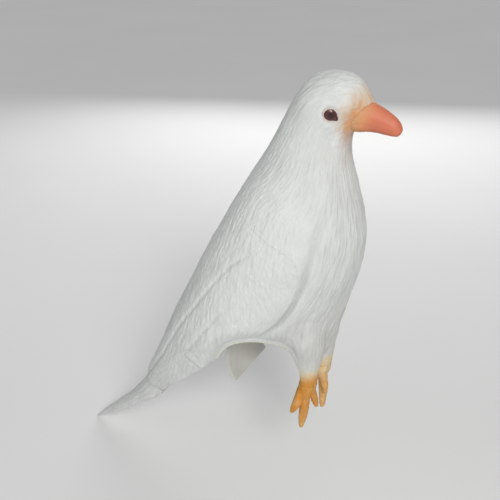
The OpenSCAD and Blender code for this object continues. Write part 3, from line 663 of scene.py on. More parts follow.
def relief(p):
    """Height of the feather relief at points in the body frame."""
    body_comb, head_comb, head, angle, world = combing(p)
    groove = groove_distance(p)
    h = pile_relief(p, groove, body_comb, head_comb, head, angle)
    h += wing_relief(p, groove, body_comb[:, 2])
    return face_relief(leg_and_saddle_relief(h, world), p, world)


# ---------------------------------------------------------------- the moulded skin
def front_block():
    """The room of the legs, in front of the saddle's centre."""
    return box([0, -90, -90], [90, 90, 3], in_body=False)


def outer_skin():
    """Body and legs as one solid with the feather relief."""
    body = subtract(body_form(0, rings=200, sides=200), front_block())
    legs = [slices(table, side) for side, _ in SIDES for table in (LEG, FLARE, THIGH)]
    o = join([body, *legs])
    remesh(o, 0.56)
    x, _, z = vertex_data(o).T
    mask = ease(x, 10, 20) * fall(z, 36, 52) * ease(z, -8, 2)
    mask = np.maximum(mask, 0.8 * ease(z, 170, 182))
    smooth(o, 44, mask)
    smooth(o, 2)
    p = vertex_data(o)
    p = p + vertex_data(o, "normal") * relief(to_body(p))[:, None]
    # the face runs out along the root of the beak, furthest over its top
    outside = beak_root_distance(p, half_width=9.1, centre_z=165.0, half_height=10.0, size=9.5)
    top = ease(p[:, 2], 168, 176) * bell(p[:, 1], 6.5)
    reach = ease(p[:, 0], 28, 38) * (2.3 + 1.3 * top) * np.exp(-outside / (1.9 + 2.6 * top))
    p[:, 0] += reach
    p[:, 2] -= 0.42 * top * reach
    move_vertices(o, p)
    return o


def hinge_cylinder(side, radius, start, end):
    return cylinder('z', (HINGE_X, side * HINGE_Y), radius, start, end)


def inner_walls():
    """Walls of the wing recesses, the hinge channels and the spine between them."""
    walls = []
    for side, _ in SIDES:
        wall = subtract(body_form(RECESS_INSET), body_form(WALL_INSET))
        intersect(wall, prism(offset_outline(WING_CURVE, 2.0), *span(side, HINGE_Y)))
        channel = hinge_cylinder(side, CHANNEL_R, -70.5, 92.8)
        walls.append(unite(wall, intersect(channel, body_form(RIB_INSET))))
    spine = intersect(box([-80, -4.6, -70.9], [-56.3, 4.6, 92.5]), body_form(RIB_INSET))
    return subtract(functools.reduce(unite, [*walls, spine]), front_block())


def wing_recess(side):
    recess = prism(offset_outline(WING_CURVE, 0), *span(side, HINGE_Y))
    subtract(recess, body_form(RECESS_INSET))
    return unite(recess, hinge_cylinder(side, HINGE_R + 0.35, -66.95, 90.5))


def saddle_cutter():
    a = np.radians(np.arange(0, 360, 1.5))
    x, z = np.sin(a), np.cos(a)
    r = saddle_radius(x, z)
    return ring_solid([np.stack([x * r, y + 0 * r, z * r], -1) for y in (-90.0, 90.0)])


def leg_slit():
    """Arched slit between the legs."""
    turns = np.linspace(0.174, math.pi - 0.174, 24)
    arc = [(ARCH_R * math.cos(t), CROTCH - ARCH_R + ARCH_R * math.sin(t)) for t in turns]
    outline = np.array(arc + [(-7.3, -20), (-7.4, -60), (7.4, -60), (7.3, -20)])
    return ring_solid([np.c_[np.full(len(outline), x), outline] for x in (0.0, 90.0)])


def saddle_notch():
    """Middle part of the saddle, cut a little wider behind the legs."""
    notch = box([0, -7, -60], [60, 7, 22], in_body=False)
    return intersect(notch, cylinder('y', (0, 0), 27.95, -8, 8, sides=160))


def body_cutter():
    """Everything taken out of the body, as one solid."""
    below_body = box([-110, -60, -140], [60, 60, -70])
    below_ankles = box([-5, -90, -90], [90, 90, -9], in_body=False)
    return functools.reduce(unite, [
        *[wing_recess(side) for side, _ in SIDES], prism(UNDERCUT, -90, 90), saddle_cutter(),
        below_body, leg_slit(), saddle_notch(), below_ankles])


def body_shell(skin):
    body = duplicate(skin)
    # the cavity stays out of the legs
    subtract(body, subtract(body_form(CAVITY_INSET), front_block()))
    unite(body, inner_walls())
    return subtract(body, body_cutter())


def wing_panel(skin, side):
    """Wing panel with its hinge root, bored along the hinge."""
    panel = prism(offset_outline(WING_CURVE, -SEAM), *span(side, HINGE_Y + 0.37))
    root = hinge_cylinder(side, HINGE_R, -66.5, 89.6)
    core = subtract(body_form(WING_INSET), root, keep_tool=True)
    unite(panel, root)
    subtract(panel, core)
    for radius, start, end in ((4.1, -47, 100), (1.6, -75, 0)):
        subtract(panel, hinge_cylinder(side, radius, start, end))
    return intersect(duplicate(skin), panel)


# ---------------------------------------------------------------- tail
def tail_feathers():
    """Half tube of feathers, open to the front, down to a narrow tip."""
    rows, columns = ((300, 120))
    D, T = np.meshgrid(np.linspace(TAIL[0, 0], TAIL[-1, 0], rows),
                       np.linspace(-math.pi / 2, math.pi / 2, columns), indexing='ij')
    ridge, edge, half = along(TAIL, D)
    ridge = ridge + 1.5 * fall(D, 71, 84) * ease(D, 70.5, 71.2)
    # feather edges: a slightly ragged rim
    rag = layers(D, np.sign(T) * 3, 0, (0.55, 6.5, 1, 1, 61))
    rag = rag * ease(np.abs(T), 1.1, 1.5) * ease(D, 74, 84)
    depth = np.cos(T)**0.9
    # stepped edges between the twelve quills, which run the length of the tail, and fine barbs
    quill = T / math.pi * 12 + layers(D, T, 0, (0.15, 30, 1, 1, 62))
    part = quill - np.floor(quill)
    part = np.where(T > 0, 1 - part, part)
    h = 0.55 * (part - 0.5) * ease(D, 70, 84) * fall(D, 140, 153)
    h += layers(T * half, D, 0, (0.10, 1.0, 16, 1, 63), (0.09, 2.2, 24, 1, 64))
    h *= fall(np.abs(T), 1.45, 1.57)
    outer = np.stack([edge + (ridge - edge) * depth + rag - np.cos(T) * h,
                      half * np.sin(T) + np.sin(T) * h, -D], -1)
    thickness = 2.1 * (1 - 0.45 * ease(D, 120, 155))
    inner_half = np.maximum(half - thickness, half * 0.4)
    inner_ridge = np.minimum(ridge + thickness, edge - 0.3)
    inner = np.stack([edge + 0.2 + (inner_ridge - edge) * depth + rag,
                      inner_half * np.sin(T), -D], -1)
    V, F = ring_mesh(np.concatenate([outer, inner[:, ::-1]], 1), ends="open")
    # close the upper and lower ends
    n = 2 * columns
    for start, order in ((0, -1), ((rows - 1) * n, 1)):
        for j in range(columns - 1):
            F.append([start + k for k in (j, j + 1, n - 2 - j, n - 1 - j)][::order])
    return solid(to_world(V), F)


def tail_plate():
    """Upright plate inside the tail with two ribs, two side plates and two holes."""
    front, back = -52.9, -55.4
    low, top = -88, -71.2
    plate = box([back, -8, low], [front, 8, -49])
    for side, _ in SIDES:
        near, far = span(side, 6, 8)
        unite(plate, box([-67.6, near, low], [-53, far, top]))
        near, far = span(side, 7.5, 21.5)
        unite(plate, box([back, near, -82], [front, far, top]))
    for z in (-63, -54):
        subtract(plate, cylinder('x', (0, z), 1.4, -58, -50, sides=32))
    return plate


# ---------------------------------------------------------------- beak
def beak_solid():
    rows, sides = ((130, 128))
    s = np.linspace(0, 1, rows)
    start, end = BEAK[0, 0], BEAK[-1, 0]
    x = start + (end - start) * np.sin(s * math.pi / 2)**0.9
    X, T = np.meshgrid(x, circle(sides), indexing='ij')
    top, bottom, half = along(BEAK, X)
    rise = (top - bottom) / 2
    sy, sz = np.cos(T), np.sin(T)
    # a keeled top and fuller cheeks
    y = half * np.sign(sy) * np.abs(sy)**0.92 * (1 - 0.16 * ease(sz, 0.1, 1.0))
    z = (top + bottom) / 2 + rise * np.sign(sz) * np.abs(sz)**0.96
    normal = np.stack([0 * sy, sy / half, sz / rise], -1)
    normal /= np.linalg.norm(normal, axis=-1, keepdims=True)
    # closed mouth line and faint grain
    mouth = -0.50 + 0.10 * (X - 44) / 29
    h = -0.16 * bell(sz - mouth, 0.10) * ease(X, 44, 49) * fall(X, 62, 69)
    h += layers(X, sy * 3, sz * 2, (0.10, 4.5, 1, 1, 71))
    h += layers(X, sy * 7, sz * 5, (0.06, 1.6, 1, 1, 72))
    # nostril dimples
    for side, _ in SIDES:
        along_x = X - 51.2
        r = np.sqrt((along_x / 2.0)**2 + ((z - 171.3 + along_x * 0.35) / 0.85)**2
                    + ((np.sign(y) - side) * 9)**2)
        h -= 0.22 * bell(r, 1.0)
    return ring_solid(np.stack([X, y, z], -1) + normal * h[..., None])


def beak_bore():
    """Round bore into the root of the beak."""
    t = circle(48)
    radius, start, depth, z = 5.2, 39.5, 11, 166.2
    return ring_solid([
        np.stack([x + 0 * t, radius * np.sin(t), z + radius * np.cos(t)], -1)
        for x in (start, start + depth)])


def beak_seat():
    """The beak, very slightly swollen, to cut its seat in the face."""
    seat = beak_solid()
    move_vertices(seat, vertex_data(seat) + vertex_data(seat, "normal") * 0.03)
    return seat


# ---------------------------------------------------------------- eyes
def eye_frame(side):
    """Centre, outward normal, forward and up directions of an eye in the world frame."""
    z = EYE[2]
    angles = np.linspace(0.2, 2.9, 400)
    points = form_point(np.full_like(angles, z), angles)
    i = np.argmin(np.abs(points[:, 0] - EYE[0]))
    a = angles[i]
    before, after, below, above = form_point(np.array([z, z, z - 1, z + 1]),
                                             np.array([a - 0.03, a + 0.03, a, a]))
    normal = np.cross(above - below, after - before)
    normal /= np.linalg.norm(normal)
    if normal[1] < 0:
        normal = -normal
    centre, normal = to_world(points[i]), to_world(normal)
    forward = np.array([1.0, 0, 0])
    forward = forward - normal * (forward @ normal)
    forward /= np.linalg.norm(forward)
    up = np.cross(normal, forward)
    if up[2] < 0:
        up = -up
    mirror = np.array([1, side, 1.0])
    return centre * mirror, normal * mirror, forward * mirror, up * mirror


def eye_radius(a):
    """A rounded almond: a small corner towards the beak, low in front."""
    def away(c):
        return np.angle(np.exp(1j * (a - c)))
    return (3.50 + 1.50 * bell(away(-0.72), 0.36) + 0.60 * bell(away(2.85), 0.8)
            - 0.30 * bell(away(0.8), 0.5))


def eye_parts(side, body):
    """Ball and rolled lid of an eye; cuts their socket in the body."""
    centre, normal, forward, up = eye_frame(side)
    a = circle(96)
    radius = eye_radius(a)
    spoke = forward * np.cos(a)[:, None] + up * np.sin(a)[:, None]

    def ring(r, height):
        return centre + spoke * r[:, None] + normal * height

    rings = [ring(radius * k, 1.15 * (1 - k**2.4) + 0.10 - 0.35) for k in np.linspace(0.04, 1, 26)]
    ball = ring_solid(rings + [ring(radius, -2.6 - 0.35)])

    t = circle(20)[None, :, None]
    roll = (0.46 + 0.07 * np.sin(3 * a + 0.5))[:, None, None]
    rim = ring(radius + 0.32, -0.28)[:, None]
    lid_rings = rim + roll * (np.cos(t) * spoke[:, None] + 0.8 * np.sin(t) * normal)
    lid = solid(*ring_mesh(lid_rings, ends="joined"))

    subtract(body, ring_solid([ring(radius + 0.12, height) for height in (-3.2, 3.0)]))
    return ball, lid


# ---------------------------------------------------------------- feet
# Outer and inner toes: world points for the left side, radius at each point
OUTER_TOE = ([[26.0, 16.9, -13.4], [24.8, 19.4, -17.6], [23.6, 21.6, -21.6], [22.3, 22.9, -24.9],
              [21.2, 23.5, -27.4]], [4.0, 3.5, 3.15, 2.6, 1.75])
INNER_TOE = ([[27.9, 11.2, -13.2], [29.4, 10.0, -17.6], [30.6, 9.4, -21.8], [31.6, 8.9, -25.8],
              [32.2, 8.5, -29.2]], [3.7, 3.1, 2.75, 2.3, 1.55])
MIDDLE_ROOT, MIDDLE_BOW = np.array([27.2, 15.0, -15]), np.array([0.5, 0.3, 0])
MIDDLE_TIP = {-1: np.array([25.0, 16.9, -41.6]), 1: np.array([28.0, 15.0, -45.0])}
PEG = [[28.0, 13.0, -11], [28.8, 12.7, -3], [29.5, 12.4, 3]]


def middle_toe(side):
    points = [MIDDLE_ROOT * (1 - f) + MIDDLE_TIP[side] * f + MIDDLE_BOW * math.sin(math.pi * f)
              for f in (0, 0.3, 0.55, 0.8, 1.0)]
    return points, [3.9, 3.45, 3.25, 2.75, 1.85]


def foot(side):
    """Three toes under an ankle, with a peg that goes up into the leg."""
    parts = [slices(FOOT_TOP, side, step=0.4)]
    for points, radii in (OUTER_TOE, middle_toe(side), INNER_TOE):
        parts.append(tube(points, radii, side, squash=0.94))
    for part in parts:
        p = vertex_data(part)
        shift = 1 - 0.5 * ease(-p[:, 2], 14, 34)
        p[:, 0] -= 0.5 * shift
        p[:, 1] += side * 0.8 * shift
        move_vertices(part, p)
    o = join(parts)
    remesh(o, 0.3)
    smooth(o, 14, fall(vertex_data(o)[:, 2], -11.2, -9.6))
    # scutes across the toes and a little skin grain
    p = vertex_data(o)
    x, _, z = p.T
    h = layers(*p.T, (0.12, 1.0, 1.0, 2.6, 81), (0.10, 0.8, 0.8, 0.8, 82))
    scutes = np.sin((z + 0.45 * x) * 2 * math.pi / 2.5)
    h += 0.10 * scutes * ease(-z, 22, 26) * ease(x, 24.0, 27)
    h = h * fall(z, -10.6, -9.4)
    move_vertices(o, p + vertex_data(o, "normal") * h[:, None])
    return unite(o, tube(PEG, [2.0, 2.0, 1.9], side))


# ---------------------------------------------------------------- build the pieces
skin = outer_skin()
body = body_shell(skin)
wings = {word: wing_panel(skin, side) for side, word in SIDES}
drop(skin)
tail = unite(tail_feathers(), tail_plate())
beak = subtract(beak_solid(), beak_bore())
subtract(body, beak_seat())
eyes = {word: eye_parts(side, body) for side, word in SIDES}
feet = {word: foot(side) for side, word in SIDES}

# ---------------------------------------------------------------- shader building
# Socket numbers, where several sockets of a node share a name
MIX_FACTOR, FLOAT_A, FLOAT_B, COLOUR_A, COLOUR_B = 0, 2, 3, 6, 7
FLOAT_RESULT, COLOUR_RESULT = 0, 2
TO_MIN, TO_MAX = 3, 4


class Surface:
    """A material and its Principled shader, with methods that add nodes."""

    def __init__(self, name, roughness):
        self.material = bpy.data.materials.new(name)
        self.material.use_nodes = True
        self.tree = self.material.node_tree
        self.inputs = self.tree.nodes.get("Principled BSDF").inputs
        self.inputs["Roughness"].default_value = roughness

    def node(self, kind, **settings):
        n = self.tree.nodes.new(kind)
        for key, value in settings.items():
            setattr(n, key, value)
        return n

    def link(self, output, socket):
        self.tree.links.new(output, socket)

    def attribute(self, name, output):
        return self.node("ShaderNodeAttribute", attribute_name=name).outputs[output]

    def coords(self, stretch=(1, 1, 1)):
        source = self.node("ShaderNodeTexCoord")
        mapping = self.node("ShaderNodeMapping")
        mapping.inputs["Scale"].default_value = stretch
        self.link(source.outputs["Object"], mapping.inputs[0])
        return mapping.outputs[0]

    def noise(self, vector, scale, detail, roughness=0.55):
        n = self.node("ShaderNodeTexNoise")
        n.inputs["Scale"].default_value = scale
        n.inputs["Detail"].default_value = detail
        n.inputs["Roughness"].default_value = roughness
        self.link(vector, n.inputs["Vector"])
        return n.outputs[0]

    def ramp(self, factor, *stops):
        """Colour ramp; each stop is a position and a colour."""
        n = self.node("ShaderNodeValToRGB")
        elements = n.color_ramp.elements
        while len(elements) > 1:
            elements.remove(elements[-1])
        elements[0].position, elements[0].color = stops[0][0], (*stops[0][1], 1)
        for position, colour in stops[1:]:
            elements.new(position).color = (*colour, 1)
        self.link(factor, n.inputs[0])
        return n.outputs[0]

    def multiply(self, a, b):
        n = self.node("ShaderNodeMix", data_type='RGBA', blend_type='MULTIPLY')
        n.inputs[MIX_FACTOR].default_value = 1.0
        self.link(a, n.inputs[COLOUR_A])
        self.link(b, n.inputs[COLOUR_B])
        return n.outputs[COLOUR_RESULT]

    def scaled_noise(self, vector, scale):
        """Noise over a vector whose axes are scaled first."""
        n = self.node("ShaderNodeVectorMath", operation='MULTIPLY')
        self.link(vector, n.inputs[0])
        n.inputs[1].default_value = scale
        return self.noise(n.outputs[0], scale=1.0, detail=3.0, roughness=0.6)

    def vary_roughness(self, factor, low, high):
        n = self.node("ShaderNodeMapRange")
        n.inputs[TO_MIN].default_value = low
        n.inputs[TO_MAX].default_value = high
        self.link(factor, n.inputs[0])
        self.link(n.outputs[0], self.inputs["Roughness"])

    def bump(self, height, distance):
        n = self.node("ShaderNodeBump")
        n.inputs["Distance"].default_value = distance
        self.link(height, n.inputs["Height"])
        self.link(n.outputs[0], self.inputs["Normal"])


WHITE_TONE = (1, 1, 1)


def combed_noise(s, coords, grain_scale):
    """Noise drawn out along the feathers, with a fine grain over it."""
    body = s.attribute("comb_body", "Vector")
    head = s.attribute("comb_head", "Vector")
    share = s.attribute("head_part", "Fac")
    on_body = s.scaled_noise(body, (0.75, 0.10, 0.30))
    on_head = s.scaled_noise(head, (0.85, 0.14, 0.40))
    mix = s.node("ShaderNodeMix", data_type='FLOAT')
    s.link(share, mix.inputs[MIX_FACTOR])
    s.link(on_body, mix.inputs[FLOAT_A])
    s.link(on_head, mix.inputs[FLOAT_B])
    grain = s.noise(coords, scale=grain_scale, detail=3.0, roughness=0.6)
    add = s.node("ShaderNodeMath", operation='MULTIPLY_ADD')
    s.link(grain, add.inputs[0])
    add.inputs[1].default_value = 0.55    # share of the grain
    s.link(mix.outputs[FLOAT_RESULT], add.inputs[2])
    return add.outputs[0]


def painted(name, roughness, specular, grain_scale, bump, variation, combed=False):
    """Moulded plastic whose paint colour is in the 'paint' attribute."""
    s = Surface(name, roughness)
    colour = s.attribute("paint", "Color")
    coords = s.coords()
    patches = s.noise(coords, scale=45.0, detail=3.0)
    dark = (1 - variation, 1 - variation, 1 - variation * 0.9)
    patch_tone = s.ramp(patches, (0.3, dark), (0.7, WHITE_TONE))
    if combed:
        fine = combed_noise(s, coords, grain_scale)
        fine_tone = s.ramp(fine, (0.60, (1 - variation * 1.5,) * 3), (0.95, WHITE_TONE))
    else:
        fine = s.noise(coords, scale=grain_scale, detail=5.0, roughness=0.6)
        fine_tone = s.ramp(fine, (0.35, (1 - variation * 0.9,) * 3), (0.65, WHITE_TONE))
    colour = s.multiply(s.multiply(colour, patch_tone), fine_tone)
    s.link(colour, s.inputs["Base Color"])
    s.vary_roughness(fine, roughness - 0.07, roughness + 0.08)
    s.inputs["Specular IOR Level"].default_value = specular
    s.bump(fine, bump)
    return s.material


def plain(name, colour, roughness, metallic=0.0, scale=400.0, bump=0.00004, variation=0.12,
          stretch=(1, 1, 1), specular=0.5):
    """One colour with a fine grain and soft patches."""
    s = Surface(name, roughness)
    fine = s.noise(s.coords(stretch), scale=scale, detail=4.0)
    patches = s.noise(s.coords(), scale=scale * 0.11, detail=2.0)
    dark = tuple(float(k) * (1 - variation) for k in colour)
    light = tuple(float(k) * (1 + variation * 0.5) for k in colour)
    grain_tone = s.ramp(fine, (0.3, dark), (0.7, light))
    patch_tone = s.ramp(patches, (0.3, (0.9, 0.9, 0.9)), (0.7, WHITE_TONE))
    s.link(s.multiply(grain_tone, patch_tone), s.inputs["Base Color"])
    s.inputs["Metallic"].default_value = metallic
    s.inputs["Specular IOR Level"].default_value = specular
    s.vary_roughness(patches, max(0.05, roughness - 0.08), roughness + 0.1)
    s.bump(fine, bump)
    return s.material


def eye_glass():
    s = Surface("eye_glass_iris", 0.34)
    colour = s.attribute("paint", "Color")
    speckle = s.noise(s.coords(), scale=1500.0, detail=3.0)
    tone = s.ramp(speckle, (0.3, (0.7, 0.7, 0.7)), (0.7, WHITE_TONE))
    s.link(s.multiply(colour, tone), s.inputs["Base Color"])
    s.inputs["Coat Weight"].default_value = 0.3
    s.inputs["Coat Roughness"].default_value = 0.16
    return s.material


# ---------------------------------------------------------------- paint
def srgb(r, g, b):
    """Linear colour of sRGB values from 0 to 255."""
    c = np.array([r, g, b], float) / 255
    return np.where(c <= 0.04045, c / 12.92, ((c + 0.055) / 1.055)**2.4)


WHITE = srgb(222, 224, 221)
WARM = srgb(212, 205, 200)
SADDLE_EDGE = srgb(228, 225, 208)
# throat pink, made darker as painted shade under the beak
PINK = srgb(190, 160, 148)
FACE = srgb(216, 172, 126)
HORN = srgb(219, 126, 96)
HORN_BASE = srgb(226, 158, 110)
FEET = srgb(214, 144, 54)
TOE_TIP = srgb(222, 170, 104)
STRAW = srgb(226, 204, 158)
EYE_RIM = srgb(212, 192, 186)
LID = srgb(216, 204, 199)
PUPIL = srgb(54, 26, 25)
IRIS = srgb(98, 46, 44)
IRIS_EDGE = srgb(52, 24, 22)


def blend(a, b, share):
    share = share[:, None]
    return a * (1 - share) + b * share


def shade(colour, factor):
    return colour * factor[:, None]


def set_paint(o, colour, material):
    """Stores a linear colour per vertex and gives the piece its material."""
    a = o.data.color_attributes.new("paint", 'FLOAT_COLOR', 'POINT')
    rgba = np.c_[np.clip(colour, 0, 1), np.ones(len(colour))]
    a.data.foreach_set("color", rgba.astype(np.float32).ravel())
    o.data.materials.clear()
    o.data.materials.append(material)


def set_combing(o):
    body_comb, head_comb, head = combing(to_body(vertex_data(o)))[:3]
    for name, values in (("comb_body", body_comb), ("comb_head", head_comb)):
        a = o.data.attributes.new(name, 'FLOAT_VECTOR', 'POINT')
        a.data.foreach_set("vector", values.astype(np.float32).ravel())
    a = o.data.attributes.new("head_part", 'FLOAT', 'POINT')
    a.data.foreach_set("value", head.astype(np.float32))


def plumage_colour(world, p):
    """White, with painted shade in the hollows and low down and painted light on raised pile,
    warmer low on the breast.
    """
    x, _, z = world.T
    c = shade(WHITE, 1 + layers(*world.T, (0.02, 9, 9, 9, 91)))
    # painted light and shade over the relief: lighter on raised pile, darker in its hollows
    c = shade(c, 1 + 0.055 * np.clip(relief(p) / 0.30, -2.2, 1.0))
    # painted shade in the hollow in front of the folded wing's edge
    hollow = bell(groove_distance(p) - 0.6, 1.2) * ease(p[:, 2], 20, 34) * fall(p[:, 2], 60, 100)
    c = shade(c, 1 - 0.06 * hollow)
    c = blend(c, SADDLE_EDGE, 0.8 * fall(saddle_distance(world), 0.4, 1.4) * fall(-z, -2, 4))
    # painted shade: darker low down, most over the lower front, and a little over the front of the
    # breast
    c = shade(c, 1 - 0.04 * ease(-z, -60, 60) - 0.11 * ease(-z, -80, -10) * ease(x, -5, 25)
              - 0.05 * ease(x, 12, 45) * fall(z, 120, 150))
    return blend(c, WARM, 0.35 * ease(-z, -70, 10) * ease(x, 10, 40))


def face_colour(c, world, p):
    """Orange round the root of the beak, pink throat streaks darkened as painted shade under the
    beak, and pale eye rims.
    """
    x, y, z = world.T
    r = distance(world, (45, 0, 166.5), (1, 0.92, 1 / 1.08))
    r = r + layers(*world.T, (1.6, 2.2, 1.5, 3, 92))
    c = blend(c, FACE, 0.9 * fall(r, 9.0, 19.0))
    c = blend(c, HORN_BASE, 0.85 * fall(r, 8.6, 12.5))
    # pink throat streaks, their colour darkened as painted shade under the beak
    t = fall(np.abs(x - 43 + 0.18 * (z - 150)), 1.5, 9) * ease(z, 128, 150)
    t = t * fall(z, 156, 162) * fall(np.abs(y), 5, 14)
    t = t * (0.6 + layers(y, z, x, (0.4, 1.2, 9, 6, 93)))
    c = blend(c, PINK, np.clip(0.8 * t, 0, 1))
    for side, _ in SIDES:
        c = blend(c, EYE_RIM, 0.45 * fall(distance(p, EYE * (1, side, 1)), 4.4, 5.8))
    return c


def leg_colour(c, world):
    """Legs fade to orange, less on the left; painted shade darkens the slit between them."""
    x, y, z = world.T
    left = y > 0
    height = z + layers(*world.T, (1.6, 2, 2, 4, 94))
    t = fall(height, np.where(left, -16, -9.5), np.where(left, 4.0, 8.0)) * ease(x, 14, 20)
    c = blend(c, STRAW, 0.8 * ease(t, 0.0, 0.45))
    c = blend(c, FEET, 0.95 * ease(t, 0.25, 1.0) * np.where(left, 0.35, 1.0))
    # painted shade deep in the slit between the legs
    slit = fall(x, 26.0, 30.0) * ease(x, 16, 20) * fall(np.abs(y), 6.0, 8.0) * fall(z, 9, 11.5)
    return shade(c, 1 - 0.78 * slit)


def paint_skin(o, material):
    world = vertex_data(o)
    p = to_body(world)
    colour = face_colour(plumage_colour(world, p), world, p)
    set_paint(o, leg_colour(colour, world), material)
    set_combing(o)


def paint_beak(o, material):
    x, y, z = p = vertex_data(o).T
    e = x + layers(y, z, 0, (1.8, 2, 3, 1, 95)) - 0.35 * (z - 165)
    c = blend(HORN, HORN_BASE, fall(e, 50.0, 61))
    c = blend(c, FACE, 0.85 * fall(e, 46.0, 55))
    set_paint(o, shade(c, 1 + layers(*p, (0.05, 5, 4, 4, 97))), material)


def paint_foot(o, side, material):
    x, y, z = p = vertex_data(o).T
    c = blend(FEET, TOE_TIP, 0.7 * ease(-z, 21, 40))
    if side > 0:      # the left foot is dusted more thinly with paint
        c = blend(c, STRAW, 0.75 * fall(-z, 12, 24) + 0.25)
    c = blend(c, TOE_TIP, np.clip(0.25 + layers(*p, (0.5, 2.2, 2.2, 4, 90)), 0, 0.7))
    c = shade(c, 1 + layers(*p, (0.12, 1.6, 1.6, 3, 98)))
    if side > 0:      # painted shade at the back of its inner side, where the slit between the legs runs down onto it
        c = shade(c, 1 - 0.7 * fall(x, 25.5, 28.5) * fall(y, 7.0, 9.5) * fall(-z, 14, 20))
    set_paint(o, c, material)


def paint_eye(ball, lid, side, glass, skin_material):
    centre, _, forward, up = eye_frame(side)
    p = vertex_data(ball) - centre
    r = np.hypot(p @ forward - 0.1, p @ up)
    c = blend(PUPIL, IRIS, ease(r, 1.2, 2.8))
    c = shade(c, 1 + layers(*p.T, (0.25, 0.8, 0.8, 0.8, 99)))
    set_paint(ball, blend(c, IRIS_EDGE, ease(r, 3.3, 4.4)), glass)
    lid_tone = 1 + layers(*vertex_data(lid).T, (0.06, 1, 1, 1, 96))
    set_paint(lid, shade(LID, lid_tone), skin_material)
    set_combing(lid)


skin_paint = painted("skin_paint", roughness=0.66, specular=0.25, grain_scale=900.0,
                     bump=0.00030, variation=0.035, combed=True)
beak_paint = painted("beak_paint", roughness=0.50, specular=0.35, grain_scale=700.0,
                     bump=0.00010, variation=0.07)
foot_paint = painted("foot_paint", roughness=0.55, specular=0.32, grain_scale=800.0,
                     bump=0.00014, variation=0.10)
glass_paint = eye_glass()
for piece in (body, tail, *wings.values()):
    paint_skin(piece, skin_paint)
paint_beak(beak, beak_paint)
for side, word in SIDES:
    paint_foot(feet[word], side, foot_paint)
    paint_eye(*eyes[word], side, glass_paint, skin_paint)

# ---------------------------------------------------------------- materials of the CAD pieces
METAL = dict(metallic=1.0, scale=600.0, stretch=(1, 1, 6))
SLOTS = {
    "skin": plain("slot_skin", WHITE, 0.62, bump=0.0001),
    "beak_paint": plain("slot_beak", HORN, 0.45),
    "foot_paint": plain("slot_foot", FEET, 0.5),
    "eye_glass": plain("slot_eye", srgb(60, 22, 20), 0.08, specular=0.7)}
# colour, roughness and other settings; the material is called slot_ and the key
for key, colour, roughness, settings in (
        ("dark_plastic", (46, 47, 50), 0.5, dict(scale=900.0, bump=0.00005)),
        ("door_plastic", (62, 64, 68), 0.48, dict(scale=900.0, bump=0.00005)),
        ("gear_plastic", (228, 222, 204), 0.38, dict(scale=500.0)),
        ("pale_plastic", (206, 206, 200), 0.55, dict(scale=800.0, bump=0.00006, variation=0.05)),
        ("case_plastic", (196, 200, 202), 0.42, dict(scale=700.0)),
        ("steel", (186, 188, 192), 0.28, METAL),
        ("brass", (206, 170, 92), 0.3, METAL),
        ("pad_rubber", (36, 36, 38), 0.85, dict(scale=1200.0, bump=0.00008)),
        ("cell_wrap", (58, 92, 140), 0.34, dict(scale=300.0)),
        ("board_green", (28, 92, 60), 0.4, dict(scale=800.0)),
        ("component", (30, 30, 32), 0.5, dict(scale=900.0)),
        ("knob_red", (178, 40, 34), 0.42, dict(scale=700.0)),
        ("wire", (150, 34, 32), 0.5, dict(scale=900.0))):
    SLOTS[key] = plain("slot_" + key, srgb(*colour), roughness, **settings)

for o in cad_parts.values():
    for i, slot in enumerate(o.material_slots):
        key = slot.material.name.split(".")[0] if slot.material else ""
        o.data.materials[i] = SLOTS.get(key, SLOTS["case_plastic"])


# ---------------------------------------------------------------- into metres, onto the bodies
def put(o, name, rides_on, slot, *replaced):
    """Finishes a piece: metres, name, smooth shading, and its place in the frame."""
    move_vertices(o, vertex_data(o) * 0.001)
    o.name = name
    o.data.name = name
    for polygon in o.data.polygons:
        polygon.use_smooth = True
    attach(o, rides_on)
    if replaced:
        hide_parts(*replaced)


put(body, "body_skin", "base", "skin", "body_shell")
for _, word in SIDES:
    put(wings[word], f"wing_{word}_skin", f"wing_{word}_body", "skin", f"wing_{word}")
put(tail, "tail_feathers", "base", "skin", "tail")
put(beak, "beak_horn", "base", "beak_paint", "beak")
for _, word in SIDES:
    ball, lid = eyes[word]
    put(ball, f"eye_{word}_glass", "base", "eye_glass", f"eye_{word}")
    put(lid, f"eye_{word}_lid", "base", "skin")
for _, word in SIDES:
    put(feet[word], f"foot_{word}_toes", "base", "foot_paint", f"foot_{word}")


# ---------------------------------------------------------------- stage, light, camera (metres)
def add_object(name, data):
    o = bpy.data.objects.new(name, data)
    COLLECTION.objects.link(o)
    return o


def add_camera(location, azimuth, elevation, lens):
    """Camera looking down by its elevation, turned from +Y by its azimuth."""
    data = bpy.data.cameras.new("camera")
    data.lens = lens
    data.sensor_width = 36.0
    data.clip_start = 0.02
    data.clip_end = 50
    camera = add_object("camera", data)
    right = Vector((math.cos(azimuth), math.sin(azimuth), 0))
    forward = Vector((-math.sin(azimuth) * math.cos(elevation),
                      math.cos(azimuth) * math.cos(elevation), -math.sin(elevation)))
    turn = Matrix((right, right.cross(forward), -forward)).transposed().to_4x4()
    camera.matrix_world = Matrix.Translation(location) @ turn
    bpy.context.scene.camera = camera


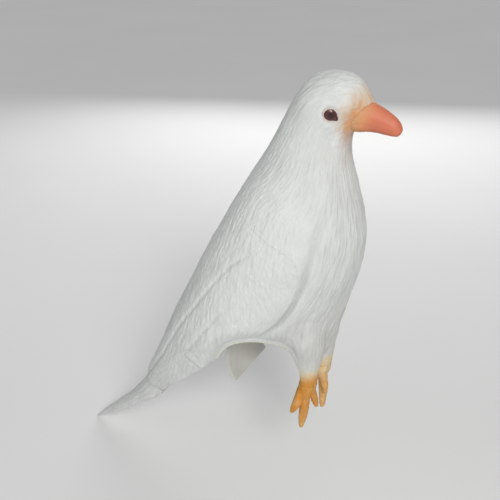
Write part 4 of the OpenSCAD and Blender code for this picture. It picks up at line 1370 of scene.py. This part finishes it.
def add_floor(radius, drop_below, sides=96):
    """Round card just under the lowest point."""
    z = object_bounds()[0][2] - drop_below
    me = bpy.data.meshes.new("floor")
    me.from_pydata([(radius * math.cos(a), radius * math.sin(a), z) for a in circle(sides)],
                   [], [list(range(sides))])
    floor = add_object("floor", me)
    s = Surface("floor_card", 0.8)
    patches = s.noise(s.coords(), scale=3.0, detail=3.0)
    tone = s.ramp(patches, (0.35, (0.86, 0.86, 0.85)), (0.65, (0.88, 0.88, 0.87)))
    s.link(tone, s.inputs["Base Color"])
    s.inputs["Specular IOR Level"].default_value = 0.2
    me.materials.append(s.material)
    floor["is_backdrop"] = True


def add_light(name, kind, direction, energy, colour=(1, 1, 1), location=(0, 0, 0), **settings):
    data = bpy.data.lights.new(name, kind)
    data.energy = energy
    data.color = colour
    for key, value in settings.items():
        setattr(data, key, value)
    light = add_object(name, data)
    light.location = location
    light.rotation_euler = direction.to_track_quat('-Z', 'Y').to_euler()
    light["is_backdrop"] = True


def add_area(name, location, target, size, energy, colour=(1, 1, 1)):
    add_light(name, 'AREA', Vector(target) - Vector(location), energy, colour, location,
              shape='RECTANGLE', size=size[0], size_y=size[1])


add_camera(location=(0.17828, -0.43219, 0.27285), azimuth=math.radians(24.6825),
           elevation=math.radians(23.1636), lens=57.6)
add_floor(radius=6.0, drop_below=0.0005)

world = bpy.data.worlds.new("world")
bpy.context.scene.world = world
world.use_nodes = True
background = world.node_tree.nodes["Background"]
background.inputs["Color"].default_value = (0.86, 0.88, 0.90, 1)
background.inputs["Strength"].default_value = 0.30

# the key and the window light come from the front right, the fill from behind on the right,
# the back light from the left
add_light("key", 'SUN', -Vector((0.46, -0.73, 0.56)), energy=1.35, colour=(1.0, 0.99, 0.97),
          angle=math.radians(20))
add_area("window", location=(0.40, -0.45, 0.42), target=(0.02, 0, 0.12), size=(0.16, 0.16),
         energy=1.0)
add_area("fill", location=(-0.9, -0.75, 0.40), target=(0, 0, 0.05), size=(0.8, 0.6),
         energy=1.2, colour=(0.96, 0.98, 1.0))
add_area("back", location=(-0.30, 0.95, 0.42), target=(0, 0, 0.03), size=(0.9, 0.7), energy=3.6)
bpy.context.scene.view_settings.view_transform = 'Standard'
